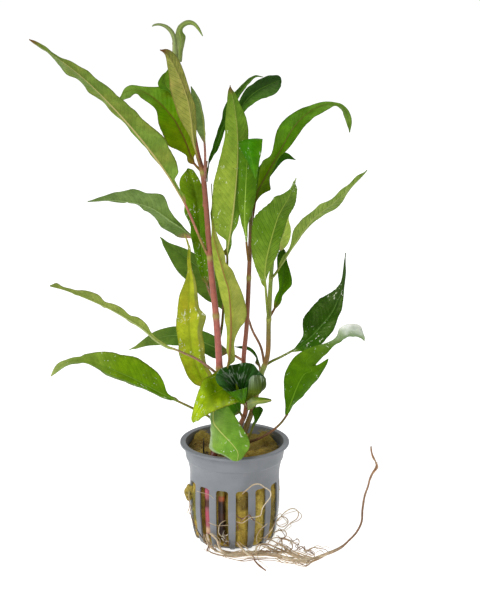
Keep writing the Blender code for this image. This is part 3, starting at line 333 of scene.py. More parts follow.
# The two margins of a blade as the photograph shows them, in pixels, from anywhere along it to its tip.
# Where a margin is hidden, the leaf's own half-width is used.
MARGINS = {
    "pink_leaf_longest": (
        [(180, 183), (179.4, 173), (175, 159), (169, 147), (163, 137), (153, 127), (141, 118), (135, 111),
         (125, 101), (115, 93), (105, 85), (94, 76), (83, 68), (71, 61), (61, 57.4), (53, 53), (47, 47), (40, 43),
         (31, 39)],
        [(181, 191), (173, 181.6), (165, 171.6), (157, 161.6), (149, 152), (139, 140), (129, 129), (121, 120),
         (113, 112.6), (105, 104.5), (97, 97.5), (89, 92), (83, 85), (75, 78), (65, 73), (58, 65), (53, 58),
         (47, 51), (40, 48.6), (33, 44), (31, 40)]),
    "pink_leaf_left": (
        [(192, 235), (183, 226), (174, 216), (168, 205), (163, 196), (153, 193), (136, 190.6), (131, 189.4),
         (115, 192), (101, 196.6), (86, 201.4)],
        [(196, 247), (191, 244), (183, 240), (173, 235), (163, 228), (153, 217), (145, 210), (133, 204),
         (115, 201.8), (95, 201.6), (86, 201.8)]),
    "olive_leaf_far_left": (
        [(196, 254), (184, 248), (170, 243), (158, 237.6)],
        [(232, 313), (223, 310), (216, 305), (206, 300), (198, 293), (188, 282), (178, 272), (170, 259), (164, 247),
         (158, 237)]),
    "pink_leaf_glossy": (
        [(209, 289), (204, 283), (200, 275), (198, 265), (194, 251), (191, 237), (190, 225), (184.4, 213),
         (185, 201), (180, 190), (180, 178), (188, 168.6), (190.4, 163)],
        [(212, 282), (211.6, 262), (209.6, 240), (207.4, 215), (203.4, 190), (198, 176), (191, 168)]),
    "pink_leaf_arched": (
        [(196, 160), (196, 140), (190, 112), (182, 99), (170, 89), (163, 87), (153, 87.4), (143, 86.6), (134, 85),
         (129, 85), (124.4, 88), (121.4, 95)],
        [(197, 161), (192, 157), (185, 154), (177, 150), (168, 145), (164, 137), (159, 125), (157.4, 115),
         (155, 109), (149, 103), (141, 98), (136, 93.4), (129, 99.4), (125, 104)]),
    "pink_leaf_pale": (
        [(195.4, 150), (196, 141), (196.4, 131), (196.4, 119), (195, 105), (192, 97), (189, 87), (185, 75),
         (180, 62), (174, 53), (168, 49), (163, 47.6)],
        [(194.6, 150), (193, 143), (188, 133), (183, 125), (178, 115), (173, 99), (169.4, 87), (169.4, 77),
         (167.4, 67), (165, 55), (160, 49)]),
    "pink_leaf_tall": (
        [(225.4, 262), (224.4, 262), (221.8, 246), (217.8, 236), (212.8, 220), (212.4, 200), (213.8, 182),
         (217.8, 166), (221.8, 150), (224.8, 136), (225.4, 120), (226.8, 104), (227.8, 92), (229.8, 84)],
        [(227.4, 250), (227.8, 246), (229.8, 238), (232.8, 232), (237.4, 225), (239.6, 214), (242, 200), (245, 180),
         (247, 162), (248, 146), (248.4, 130), (245.8, 116), (240.8, 106), (236.8, 96), (231.8, 88), (229.8, 84)]),
    "pink_leaf_folded": (
        [(224.6, 366), (225.8, 352), (226.8, 330), (224.8, 320), (223.8, 308), (218.8, 288), (214.8, 270),
         (212.4, 255), (211.8, 241), (211.6, 225), (208.6, 200), (208, 180)],
        [(231, 372), (234.8, 366), (234.8, 352), (233.8, 342), (235.8, 336), (239.8, 328), (244.8, 322),
         (246.8, 314), (245.8, 306), (242.8, 294), (237.8, 282), (232.8, 271), (227.8, 265), (224.4, 262)]),
    "brown_leaf_arching": (
        [(252, 206), (256.4, 190), (258.8, 176), (259.8, 168), (262.8, 160), (269.8, 156), (273.8, 146),
         (275.8, 134), (279.8, 124), (286.8, 117), (294.8, 112), (304.8, 107), (316.8, 103), (326.8, 101.4),
         (334.8, 102.4), (340.8, 103), (346.8, 108), (350.8, 116), (351.8, 124), (350, 132)],
        [(256, 212), (264, 204), (271.8, 194), (270.8, 188), (269.8, 178), (272.8, 170), (276.8, 162), (280.8, 156),
         (286.8, 150), (294.8, 140), (302.8, 129), (310.8, 120), (320.8, 114), (328.8, 109), (335.8, 105),
         (340.8, 110), (344.8, 118), (346.8, 125), (349.4, 132)]),
    "olive_leaf_large": (
        [(263, 290), (259.8, 278), (254.8, 266), (251.8, 254), (251.2, 240), (251.8, 226), (254.8, 216),
         (262.8, 208), (270.8, 202), (274.8, 196), (279.8, 195), (285.8, 192), (292.8, 186), (296.4, 177)],
        [(265, 290), (266.8, 278), (272.8, 264), (278.8, 252), (280.8, 240), (284.8, 228), (288.8, 216),
         (294.8, 206), (296.8, 196), (297.4, 186), (296.6, 177)]),
    "olive_leaf_pale": (
        [(276, 256), (278.8, 253), (282.8, 250), (287.8, 244), (290.4, 236), (290.8, 228), (287.8, 218)],
        [(274, 252), (276, 240), (280, 226), (286, 216)]),
    "olive_leaf_right": (
        [(285, 259), (287.8, 253), (290.8, 242), (293.8, 230), (300.8, 220), (310.8, 212), (320.8, 204),
         (332.8, 198), (340.8, 190), (348.8, 184), (356.8, 176), (366.6, 171)],
        [(286, 259.6), (288.8, 254), (296.8, 242), (304.8, 232), (314.8, 221), (326.8, 214), (336.8, 208),
         (344.8, 198), (352.8, 186), (360.8, 178), (366.6, 171.6)]),
    "olive_leaf_dark": (
        [(278.6, 292), (278.8, 286), (277.8, 274), (276.8, 262), (277.8, 254), (283, 246)],
        [(281, 297), (286.5, 291), (292, 285), (291.8, 278), (289.8, 270), (286.8, 260), (285.6, 246)]),
    "olive_leaf_glossy": (
        [(281.8, 358.6), (289.8, 353), (295.8, 346.4), (301.8, 338), (303.2, 332), (302.8, 322), (305.8, 314),
         (313.8, 304), (323.8, 296), (333.8, 290), (340.8, 282), (342.8, 270), (344.6, 253)],
        [(281.8, 359), (293.8, 352.6), (303.8, 350.6), (315.8, 348), (323.8, 342), (327.8, 336), (331.8, 332),
         (335.8, 324), (340.8, 312), (342.8, 300), (344.8, 284), (345.8, 270), (345, 253)]),
    "pink_leaf_low_left": (
        [(178, 402), (174, 400.2), (168, 393.4), (164, 384), (158, 373), (148, 364), (136, 357.4), (120, 354),
         (108, 352), (96, 352), (84, 354), (72, 356.6), (66, 356.8), (58, 358.4), (52, 362.6), (49.4, 369),
         (50, 377)],
        [(178, 403), (170, 400.6), (158, 396), (144, 389.4), (128, 383.4), (114, 378.4), (102, 372.4), (90, 364.6),
         (80, 360), (70, 359), (60, 361.6), (55, 366), (52, 372), (50.4, 377)]),
    "pink_leaf_narrow": (
        [(170, 346.6), (166, 344.4), (158, 339), (152, 332), (146, 325), (138, 318), (128, 313), (118, 307),
         (106, 301), (94, 294), (80, 290), (66, 287.6), (59, 285), (48.6, 281)],
        [(170, 348.4), (168, 347.6), (156, 343.4), (146, 336.6), (136, 327.6), (124, 319), (112, 313.6),
         (98, 307.6), (80, 299.6), (60, 292), (49, 290)]),
    "brown_leaf_left": (
        [(228, 350), (222, 345), (216, 337), (204, 331), (190, 327), (176, 326), (164, 328), (152, 333), (140, 342),
         (130, 350.6)],
        [(228, 360), (214, 358), (205, 354), (192, 348), (176, 345.6), (160, 345), (144, 346.6), (130, 351)]),
    "pink_leaf_yellow": (
        [(210, 388), (204, 387.6), (198, 386), (194, 384), (188, 377), (182, 363), (179, 353), (178, 341),
         (176.4, 329), (176.6, 317), (178, 305), (180, 293), (184, 283), (187.6, 272), (187, 260), (188, 250),
         (189, 240)],
        [(214, 380), (212, 374), (207, 365), (205, 355), (204, 343), (202.4, 331), (205, 321), (206, 314),
         (201, 311), (199, 305), (197, 289), (195, 278), (192.6, 271), (190.6, 260), (191, 250), (190, 240)]),
    "olive_leaf_curved": (
        [(260, 372), (259.8, 368), (257.8, 360), (251.8, 352.6), (245.8, 349.2), (239.8, 348.6)],
        [(257, 372), (255, 364), (252.8, 358.4), (246.8, 352.6), (239.8, 349.6)]),
    "olive_leaf_sprout": (
        [(254.6, 424), (254.2, 420), (253.5, 415), (252.5, 410.5), (256, 406.3)],
        [(255.8, 424), (258, 420), (261.5, 414), (263.2, 408.5), (260, 406.2), (256.6, 406.2)]),
    "brown_leaf_low": (
        [(233, 419), (229, 410), (228, 404), (234, 398)],
        [(238.4, 420), (239.5, 415), (241, 409), (240.8, 402), (238, 398)]),
    "pink_leaf_behind_tip": (
        [(170, 70), (163, 74), (159.4, 79), (157.4, 84), (160, 88)],
        [(178, 80), (174, 90), (168, 90), (161, 89)]),
}


def look(side, *colours, rib="#a3ab58", stalk="#a0785c", veins=0.35, spots=0.0, gloss=0.4, wave=0.5, teeth=0.12,
         margin=None, drops=0, wet_glints=0.0, end=None, patch=None, notch=None, half=None):
    """A leaf's looks. side says which side the camera sees, upper or under, and colours are that side's at
    the base, the middle and the tip, which a blade of SHEETS has in its own table. end is the colour of its
    last few millimetres, patch that of its cloudy patches, and notch is the side, place and depth of a
    small tear in the margin. half is the side, colour and start of a strip along one margin."""
    return dict(side=side, colours=colours, rib=rib, stalk=stalk, veins=veins, spots=spots, gloss=gloss,
                wave=wave, teeth=teeth, margin=margin, drops=drops, wet_glints=wet_glints, end=end, patch=patch,
                notch=notch, half=half)


LOOKS = {
    "pink_tip_left": look("under", rib="#8a9a60", veins=0.0),
    "pink_tip_right": look("under", rib="#7f9448", veins=0.0),
    "pink_leaf_behind_tip": look("upper", "#48740e", "#507c1a", "#66881e", rib="#6f8a2c", wave=0.2),
    "pink_leaf_pale": look("under", "#8a8f3c", "#8e9244", "#888c44", rib="#aaa65a", stalk="#946048",
                           margin="#6f5530", veins=0.75, spots=0.25, wave=0.4, end="#6a4528", patch="#9a8f4e"),
    "pink_leaf_arched": look("upper", "#839904", "#5f9202", "#729040", rib="#6f5224", stalk="#94503f", gloss=0.5,
                             wave=0.5, patch="#6c7604", margin="#5a4f1c"),
    "pink_leaf_edge_on": look("upper", "#6f7f4e", "#5f7a44", "#557440", stalk="#a8756a", wave=0.2),
    "pink_leaf_dark_back": look("upper", rib="#567f2c"),
    "pink_leaf_longest": look("under", "#7a9a3c", "#688132", "#627a36", rib="#b9aa70", stalk="#b57568", spots=0.5,
                              margin="#5f6a2c", wave=0.5, veins=0.35, end="#6b4a26", patch="#7c8436"),
    "pink_leaf_left": look("under", "#517122", "#728c48", "#637a44", rib="#8fa866", stalk="#a87466", wave=0.6,
                           veins=0.4, notch=(1, 0.66, 0.5), patch="#6f8a4c"),
    "pink_leaf_glossy": look("upper", "#588900", "#4e7d00", "#85ab1a", rib="#5f8a1c", gloss=0.8, wave=0.9, drops=50,
                             wet_glints=0.9, patch="#5a7408"),
    # its darker half, from the midrib out, is painted shade on the side turned from the key light
    "pink_leaf_tall": look("under", "#748f30", "#8a9f37", "#4f731e", rib="#adb060", stalk="#7f5238", spots=0.4,
                           wave=0.35, veins=0.4, end="#5f4a24", patch="#6f8f2c", wet_glints=0.3,
                           half=(-1, "#5f8422", 0.0)),
    "pink_leaf_folded": look("under", "#a8b046", "#9cab40", "#688428", rib="#8f6a3c", stalk="#86663c", spots=0.15,
                             wave=0.5, veins=0.25, patch="#a3a848", half=(-1, "#979f48", 0.1)),
    "pink_leaf_yellow": look("upper", "#93b30c", "#aeb82a", "#949e2a", rib="#8f9c1e", gloss=0.7, wave=0.9, drops=40,
                             spots=0.2, margin="#7f8418", veins=0.15, wet_glints=0.9, patch="#a8a024",
                             half=(1, "#858a3c", 0.55)),
    "pink_leaf_narrow": look("under", "#8a9c40", "#889848", "#75843f", rib="#a5b070", stalk="#a0706a", spots=0.3,
                             margin="#7a7a44", wave=0.6, patch="#94a050"),
    "pink_leaf_low_left": look("upper", "#5a8a02", "#72980e", "#92a05c", rib="#739a2c", stalk="#8f7448", gloss=0.5,
                               wave=0.5, drops=8, wet_glints=0.4, patch="#6f8a1c", margin="#6a7424",
                               half=(-1, "#7f9c60", 0.72)),
    "brown_leaf_bent_over": look("under", rib="#8fae44", gloss=0.5, drops=30, wet_glints=0.5, stalk="#7c5a2c"),
    "brown_leaf_back": look("upper", rib="#4f7428", gloss=0.5),
    "brown_leaf_arching": look("upper", "#6a8702", "#488000", "#7d9e40", rib="#5f5a20", stalk="#7f4c30", gloss=0.5,
                               wave=0.4, patch="#446a04", margin="#4f5a1c"),
    "brown_leaf_behind_arch": look("upper", "#2f5c08", "#2f6008", "#2f5c0c", rib="#46701c", wave=0.3),
    "brown_leaf_left": look("upper", "#456a22", "#4f7226", "#7a8c3e", rib="#66863c", gloss=0.3, wave=0.3,
                            patch="#3c5c20"),
    "brown_leaf_lime": look("upper", rib="#86a010", gloss=0.8, drops=50, margin="#76701a", veins=0.2, spots=0.25,
                            wet_glints=0.8, patch="#93ac06"),
    "brown_leaf_cup": look("upper"),
    "brown_leaf_low": look("upper", "#2c5200", "#458900", "#488800", rib="#4a7a10", gloss=0.4, wave=0.2),
    "brown_leaf_over_rim": look("upper", rib="#b3bc66", stalk="#7a983c", gloss=0.6, drops=9, veins=0.3, wet_glints=0.9,
                                patch="#6c9a38", half=(-1, "#9fb68c", 0.8)),
    "olive_leaf_large": look("under", "#839d3a", "#557a16", "#5c722e", rib="#93a644", stalk="#84903c", wave=0.3,
                             veins=0.8, teeth=0.6, spots=0.15, drops=40, wet_glints=0.3, patch="#5e8224"),
    "olive_leaf_pale": look("under", "#94a848", "#bcd55c", "#c8d868", rib="#a0b058", wave=0.2, teeth=0.2,
                            veins=0.3),
    "olive_leaf_right": look("under", "#7e983c", "#829947", "#6e883a", rib="#93a058", stalk="#84903c", wave=0.3,
                             veins=0.95, teeth=0.25, patch="#869c4e"),
    "olive_leaf_dark": look("upper", "#69a006", "#497a06", "#203c06", rib="#46701c", stalk="#946a48", gloss=0.5,
                            wave=0.3),
    # its greyish tip colour is partly its own and partly a painted silvery sheen
    "olive_leaf_glossy": look("upper", "#346602", "#284c02", "#485f38", rib="#3f6a1c", stalk="#84903c", veins=0.05,
                              gloss=0.7, wave=0.8, drops=6, wet_glints=0.9, patch="#204004"),
    "olive_leaf_far_left": look("upper", "#516c28", "#577428", "#59782c", rib="#64843c", gloss=0.3, wave=0.3),
    "olive_leaf_curved": look("upper", "#2f6008", "#2c5c08", "#2a5410", rib="#3c6a18", wave=0.1, teeth=0),
    "olive_leaf_small": look("upper", spots=0.4, veins=0.1),
    "olive_leaf_low_right": look("upper", rib="#5c8418", stalk="#70503a", gloss=0.4, drops=8, wet_glints=0.2,
                                 patch="#4a7004", veins=0.25),
    "olive_leaf_sprout": look("upper", "#2c5c04", "#306400", "#305a0a", rib="#4a7420", stalk="#98984c", gloss=0.5,
                              wave=0.2),
}


# Colours and small helpers

def linear(hex_colour):
    """The linear red, green and blue of an sRGB hex colour."""
    values = [int(hex_colour[i:i + 2], 16) / 255 for i in (1, 3, 5)]
    return tuple(v / 12.92 if v <= 0.04045 else ((v + 0.055) / 1.055) ** 2.4 for v in values)


def mixed(a, b, share):
    return tuple(x * (1 - share) + y * share for x, y in zip(a, b))


def clamp(value, low=0.0, high=1.0):
    return min(max(value, low), high)


def tint_along(tints, share):
    """The colour at a share of the way along a row of colours."""
    place = share * (len(tints) - 1)
    first = min(int(place), max(len(tints) - 2, 0))
    return mixed(tints[first], tints[min(first + 1, len(tints) - 1)], place - first)


def seed_of(name):
    return sum(ord(c) for c in name) * SEED_STEP


def with_ends(points):
    """The points with one more before the first and one after the last, for a curve's ends."""
    return [2 * points[0] - points[1], *points, 2 * points[-1] - points[-2]]


def curve_at(a, b, c, d, t):
    """The point at t from b to c on a smooth curve through a, b, c and d."""
    return 0.5 * (2 * b + (c - a) * t + (2 * a - 5 * b + 4 * c - d) * t * t + (3 * b - a - 3 * c + d) * t ** 3)


def smooth_path(points, count):
    """Points at even distances along a smooth curve through the given points."""
    knots = with_ends([Vector(p) for p in points])
    dense = []
    for a, b, c, d in zip(knots, knots[1:], knots[2:], knots[3:]):
        dense.extend(curve_at(a, b, c, d, i / CURVE_STEPS) for i in range(CURVE_STEPS))
    dense.append(knots[-2])
    lengths = [0.0]
    for a, b in zip(dense, dense[1:]):
        lengths.append(lengths[-1] + (b - a).length)
    placed = []
    at = 0
    for i in range(count):
        goal = lengths[-1] * i / (count - 1)
        while at < len(dense) - 2 and lengths[at + 1] < goal:
            at += 1
        share = (goal - lengths[at]) / max(lengths[at + 1] - lengths[at], 1e-9)
        placed.append(dense[at].lerp(dense[at + 1], clamp(share)))
    return placed


def along(values, share):
    """The value at a share of the way along an evenly spaced list of numbers or vectors."""
    place = clamp(share) * (len(values) - 1)
    first = min(int(place), len(values) - 2)
    rest = place - first
    return values[first] * (1 - rest) + values[first + 1] * rest


def ring_faces(rows, turns):
    """Faces between rings of so many points each."""
    faces = []
    for i in range(rows):
        for k in range(turns):
            a, b = i * turns + k, i * turns + (k + 1) % turns
            faces.append((a, a + turns, b + turns, b))
    return faces


def thin_body(rows, columns, ends_turned):
    """Faces of a thin body whose two sides each have rows of points: one side's, the other's and the rim's."""
    size = rows * columns
    front, behind, rim = [], [], []
    for i in range(rows - 1):
        for k in range(columns - 1):
            a = i * columns + k
            b = a + size
            front.append((a, a + 1, a + 1 + columns, a + columns))
            behind.append((b, b + columns, b + 1 + columns, b + 1))
        for k in (0, columns - 1):
            a, b = i * columns + k, (i + 1) * columns + k
            quad = (a, b, b + size, a + size)
            rim.append(tuple(reversed(quad)) if k else quad)
    for i in (0, rows - 1):
        for k in range(columns - 1):
            a = i * columns + k
            quad = (a, a + size, a + 1 + size, a + 1)
            rim.append(tuple(reversed(quad)) if (i > 0) != ends_turned else quad)
    return front, behind, rim


def seen(px, py, depth):
    """The point (mm) that the photograph shows at a pixel, at a distance y behind the pot's axis."""
    forward = Vector((0, math.cos(LOOKING_DOWN), -math.sin(LOOKING_DOWN)))
    up = Vector((0, math.sin(LOOKING_DOWN), math.cos(LOOKING_DOWN)))
    ray = (forward + Vector((1, 0, 0)) * ((px - PHOTO_SIZE[0] / 2) / FOCAL_PIXELS)
           + up * ((PHOTO_SIZE[1] / 2 - py) / FOCAL_PIXELS))
    return CAMERA + ray * ((depth - CAMERA.y) / ray.y)


def on_floor(px, py, height):
    """The point (mm) at a pixel that lies at a height above the floor."""
    low, high = -140.0, 160.0  # far enough to the front and to the back
    for _ in range(40):
        middle = (low + high) / 2
        if seen(px, py, middle).z > height:
            low = middle
        else:
            high = middle
    return seen(px, py, (low + high) / 2)


def linked(name, data):
    """A new object in the scene."""
    made = bpy.data.objects.new(name, data)
    bpy.context.scene.collection.objects.link(made)
    return made


class Mesh:
    """Collects the points, faces, colours and material numbers of one piece."""

    def __init__(self):
        self.points, self.faces, self.colours, self.places, self.slots = [], [], [], [], []

    def add(self, points, faces, colours=None, places=None, slot=0):
        first = len(self.points)
        self.points.extend(points)
        self.faces.extend([tuple(first + i for i in f) for f in faces])
        self.colours.extend(colours if colours is not None else [(1, 1, 1)] * len(points))
        self.places.extend(places if places is not None else [(0, 0, 0)] * len(points))
        self.slots.extend([slot] * len(faces))

    def build(self, name, materials):
        mesh = bpy.data.meshes.new(name)
        mesh.from_pydata([tuple(c * MM for c in p) for p in self.points], [], self.faces)
        colour = mesh.color_attributes.new("tint", "FLOAT_COLOR", "POINT")
        colour.data.foreach_set("color", [v for c in self.colours for v in (*c, 1.0)])
        place = mesh.attributes.new("place", "FLOAT_VECTOR", "POINT")
        place.data.foreach_set("vector", [v for p in self.places for v in p])
        for m in materials:
            mesh.materials.append(m)
        mesh.polygons.foreach_set("material_index", self.slots)
        mesh.polygons.foreach_set("use_smooth", [True] * len(mesh.polygons))
        mesh.update()
        mesh.validate()
        return linked(name, mesh)


def tube_rings(path, radii, sides):
    """Points and faces of a closed tube along a path, with flat caps on its ends."""
    count = len(path)
    ahead = [(path[min(i + 1, count - 1)] - path[max(i - 1, 0)]).normalized() for i in range(count)]
    across = ahead[0].orthogonal().normalized()
    points, faces = [], []
    for i in range(count):
        across = (across - ahead[i] * across.dot(ahead[i])).normalized()
        second = ahead[i].cross(across)
        for k in range(sides):
            turn = 2 * math.pi * k / sides
            points.append(path[i] + (across * math.cos(turn) + second * math.sin(turn)) * radii[i])
    for i in range(count - 1):
        for k in range(sides):
            a, b = i * sides + k, i * sides + (k + 1) % sides
            faces.append((a, b, b + sides, a + sides))
    faces.append(tuple(reversed(range(sides))))
    faces.append(tuple((count - 1) * sides + k for k in range(sides)))
    return points, faces


def drift(place):
    """A smooth wandering vector. noise_vector isn't used, because it differs from run to run."""
    return Vector([noise.noise(place + Vector((0, 0, 31.7 * axis))) for axis in range(3)])


def strand(mesh, route, radii, colours, sides=6, spacing=1.2, wobble=0.0, seed=0.0):
    """Adds a thin tube along a smooth route. Its radius and colour change along it."""
    rough = sum((Vector(b) - Vector(a)).length for a, b in zip(route, route[1:]))
    count = max(4, int(rough / spacing))
    path = smooth_path(route, count)
    if wobble:
        for i, p in enumerate(path):
            fade = min(i, count - 1 - i, 4) / 4
            shift = drift(p * 0.16 + Vector((seed, seed * 0.7, 0)))
            path[i] = p + shift * wobble * fade
    sizes = [along(radii, i / (count - 1)) * (1 + 0.12 * noise.noise(p * 0.9)) for i, p in enumerate(path)]
    points, faces = tube_rings(path, sizes, sides)
    tints = [linear(c) for c in colours]
    shades = []
    for i in range(count):
        shades.extend([tint_along(tints, i / (count - 1))] * sides)
    mesh.add(points, faces, shades, [(0, i * spacing, 0) for i in range(count) for _ in range(sides)])


# Materials

class Nodes:
    """Makes and joins a material's nodes."""

    def __init__(self, name):
        self.material = bpy.data.materials.new(name)
        self.material.use_nodes = True
        self.tree = self.material.node_tree
        self.shader = self.tree.nodes["Principled BSDF"]

    def put(self, target, value):
        if hasattr(value, "is_output"):
            self.tree.links.new(value, target)
        else:
            target.default_value = value

    def set(self, name, value):
        self.put(self.shader.inputs[name], value)

    def math(self, operation, a, b=0.0):
        node = self.tree.nodes.new("ShaderNodeMath")
        node.operation = operation
        for socket, value in zip(node.inputs, (a, b)):
            self.put(socket, value)
        return node.outputs[0]

    def times(self, a, *others):
        for b in others:
            a = self.math("MULTIPLY", a, b)
        return a

    def plus(self, a, b):
        return self.math("ADD", a, b)

    def attribute(self, name):
        node = self.tree.nodes.new("ShaderNodeAttribute")
        node.attribute_name = name
        return node

    def tint(self):
        return self.attribute("tint").outputs["Color"]

    def place(self):
        return self.split(self.attribute("place").outputs["Vector"])

    def split(self, vector):
        node = self.tree.nodes.new("ShaderNodeSeparateXYZ")
        self.put(node.inputs[0], vector)
        return node.outputs

    def join(self, x, y, z):
        node = self.tree.nodes.new("ShaderNodeCombineXYZ")
        for socket, value in zip(node.inputs, (x, y, z)):
            self.put(socket, value)
        return node.outputs[0]

    def object_place(self):
        return self.tree.nodes.new("ShaderNodeTexCoord").outputs["Object"]

    def noise(self, vector, scale, detail=3.0, roughness=0.55):
        node = self.tree.nodes.new("ShaderNodeTexNoise")
        self.put(node.inputs["Vector"], vector)
        node.inputs["Scale"].default_value = scale
        node.inputs["Detail"].default_value = detail
        node.inputs["Roughness"].default_value = roughness
        return node.outputs["Fac"]

    def ramp(self, value, low, high, to_low=0.0, to_high=1.0):
        node = self.tree.nodes.new("ShaderNodeMapRange")
        node.interpolation_type = "SMOOTHSTEP"
        for socket, v in zip(node.inputs, (value, low, high, to_low, to_high)):
            self.put(socket, v)
        return node.outputs[0]

    def mix(self, share, a, b, blend="MIX"):
        node = self.tree.nodes.new("ShaderNodeMix")
        node.data_type = "RGBA"
        node.blend_type = blend
        self.put(node.inputs[0], share)
        self.put(node.inputs[6], a if hasattr(a, "is_output") else (*a, 1.0))
        self.put(node.inputs[7], b if hasattr(b, "is_output") else (*b, 1.0))
        return node.outputs[2]

    def mix_value(self, share, a, b):
        node = self.tree.nodes.new("ShaderNodeMix")
        for socket, value in zip(node.inputs[:1] + node.inputs[2:4], (share, a, b)):
            self.put(socket, value)
        return node.outputs[0]

    def scaled(self, colour, factors):
        """The colour with its red, green and blue multiplied."""
        return self.mix(1.0, colour, factors, "MULTIPLY")

    def shaded(self, share, colour, factors):
        """The colour, multiplied where share is 1."""
        return self.mix(share, colour, self.scaled(colour, factors))

    def bump(self, height, distance, strength):
        node = self.tree.nodes.new("ShaderNodeBump")
        node.inputs["Strength"].default_value = strength
        node.inputs["Distance"].default_value = distance
        self.put(node.inputs["Height"], height)
        return node.outputs[0]


def leaf_material(name, shown, blade, under, gloss):
    """A leaf's one side. The mesh gives each point's tint, and its place: mm across from the midrib, mm
    along the blade, and the share of the way out to the margin."""
    n = Nodes(name)
    x, y, out = n.place()
    side = n.math("ABSOLUTE", x)
    here = n.object_place()
    broad = n.noise(here, 75, 2)
    cloud = n.noise(here, 210, 3)
    fine = n.noise(here, 1100, 3)
    colour = n.tint()
    # a strip of its own colour along one margin; on pink_leaf_tall it covers a whole half as painted shade
    if shown["half"]:
        sign, tone, reach = shown["half"]
        over = n.ramp(n.times(x, sign), 0.0, 0.5)
        over = n.times(over, n.ramp(out, reach, reach + 0.12))
        colour = n.mix(over, colour, linear(tone))
    if shown["patch"]:
        colour = n.mix(n.ramp(broad, 0.44, 0.68, 0.0, 0.65), colour, linear(shown["patch"]))
    colour = n.mix(n.ramp(cloud, 0.35, 0.7), n.scaled(colour, (0.78, 0.8, 0.74)),
                   n.scaled(colour, (1.12, 1.08, 1.1)))
    colour = n.shaded(n.ramp(fine, 0.5, 0.72, 0.0, 0.5), colour, (1.3, 1.24, 1.25))
    # side veins run from the midrib outwards and towards the tip, and curve as they near the margin
    waver = n.times(n.noise(n.join(x, y, 0.0), 0.12, 2), VEIN_WAVER)
    lead = n.plus(n.times(side, VEIN_LEAD), n.times(out, out, VEIN_CURVE))
    phase = n.math("DIVIDE", n.plus(n.math("SUBTRACT", y, lead), waver), VEIN_SPACING)
    wave = n.math("ABSOLUTE", n.math("SUBTRACT", n.math("FRACT", phase), 0.5))
    vein = n.ramp(wave, 0.14, 0.0)
    beside = n.times(n.ramp(wave, 0.1, 0.2), n.ramp(wave, 0.34, 0.2))
    quilt = n.ramp(wave, 0.0, 0.5)
    inside = n.ramp(out, 1.0, 0.7)
    veins = shown["veins"]
    # the vein lines and the bands beside them are partly the veins' own tone and partly painted light: on the
    # underside, painted shade in the furrows and a painted highlight beside them; on the upper side, painted sheen
    # along the veins
    dark, pale = ((0.5, 0.6, 0.5), (1.32, 1.24, 1.25)) if under else ((1.3, 1.2, 1.2), (0.8, 0.86, 0.8))
    colour = n.shaded(n.times(vein, inside, veins), colour, dark)
    colour = n.shaded(n.times(beside, inside, veins * 0.6), colour, pale)
    colour = n.shaded(n.times(n.ramp(out, 0.82, 1.0), 0.5), colour, (0.7, 0.72, 0.6))
    if shown["spots"]:
        speck = n.noise(here, 760, 2, 0.7)
        share = n.times(n.ramp(speck, 0.64, 0.7), n.ramp(cloud, 0.36, 0.6))
        colour = n.mix(n.times(share, min(1.0, shown["spots"] * 1.7)), colour, linear("#4a3f16"))
    if shown["margin"]:
        rim = n.times(n.ramp(out, 0.9, 0.99), n.ramp(cloud, 0.32, 0.5))
        colour = n.mix(n.times(rim, 0.75), colour, linear(shown["margin"]))
    # the midrib narrows towards the tip, with a soft shadow line beside it
    width = n.ramp(y, 0.0, blade, 0.34, 0.05)
    fade = n.times(n.ramp(y, -2.0, 6.0), n.ramp(y, blade * 1.02, blade * 0.55, 0.25, 0.95))
    shadow = n.times(n.ramp(n.math("SUBTRACT", side, width), 0.55, 0.1), fade)
    colour = n.shaded(n.times(shadow, 0.25 if under else 0.5), colour, (0.6, 0.66, 0.5))
    midrib = n.times(n.ramp(n.math("SUBTRACT", side, width), 0.14, -0.08), fade)
    colour = n.mix(midrib, colour, linear(shown["rib"]))
    if shown["end"]:
        last = n.ramp(n.plus(y, n.times(cloud, 3.0)), blade - 5.0, blade + 0.5)
        colour = n.mix(last, colour, linear(shown["end"]))
    rough = n.plus(n.times(fine, 0.2), 0.5 - 0.3 * gloss)
    # painted glints: near-white specks where the water film catches the light, with a lower roughness under them
    if shown["wet_glints"] and not (under and shown["side"] == "upper"):
        film = n.noise(n.join(n.times(x, 0.9), n.times(y, 0.4), out), 0.85, 3, 0.7)
        where = n.ramp(n.noise(here, 95, 1), 0.46, 0.62)
        glint = n.times(n.ramp(film, 0.68 - 0.08 * shown["wet_glints"], 0.71 - 0.08 * shown["wet_glints"]), where)
        colour = n.mix(n.times(glint, 0.55 + 0.3 * shown["wet_glints"]), colour, linear("#eef2dc"))
        rough = n.mix_value(glint, rough, 0.1)
    n.set("Base Color", colour)
    n.set("Roughness", rough)
    n.set("Specular IOR Level", 0.07 + 0.3 * gloss * gloss)
    n.set("Specular Tint", (0.8, 1.0, 0.35, 1.0))
    n.set("Subsurface Weight", 0.04)
    n.set("Subsurface Radius", (0.001, 0.0014, 0.0003))
    n.set("Subsurface Scale", 1.0)
    height = n.plus(n.times(quilt, 0.12 + 0.6 * veins), n.times(fine, 0.3))
    height = n.plus(height, n.times(n.noise(here, 320, 2), 0.5 + 0.7 * gloss))
    n.set("Normal", n.bump(height, 0.00026 if under else 0.0002, 0.9))
    return n.material


def drop_glint_material():
    """Small drops and films of water, coloured near-white as a painted highlight of the light they catch."""
    n = Nodes("drops_painted_glint")
    n.set("Base Color", n.mix(n.ramp(n.noise(n.object_place(), 600, 2), 0.4, 0.6), linear("#e9efda"),
                              linear("#cfdcae")))
    n.set("Roughness", 0.06)
    n.set("Specular IOR Level", 0.6)
    return n.material


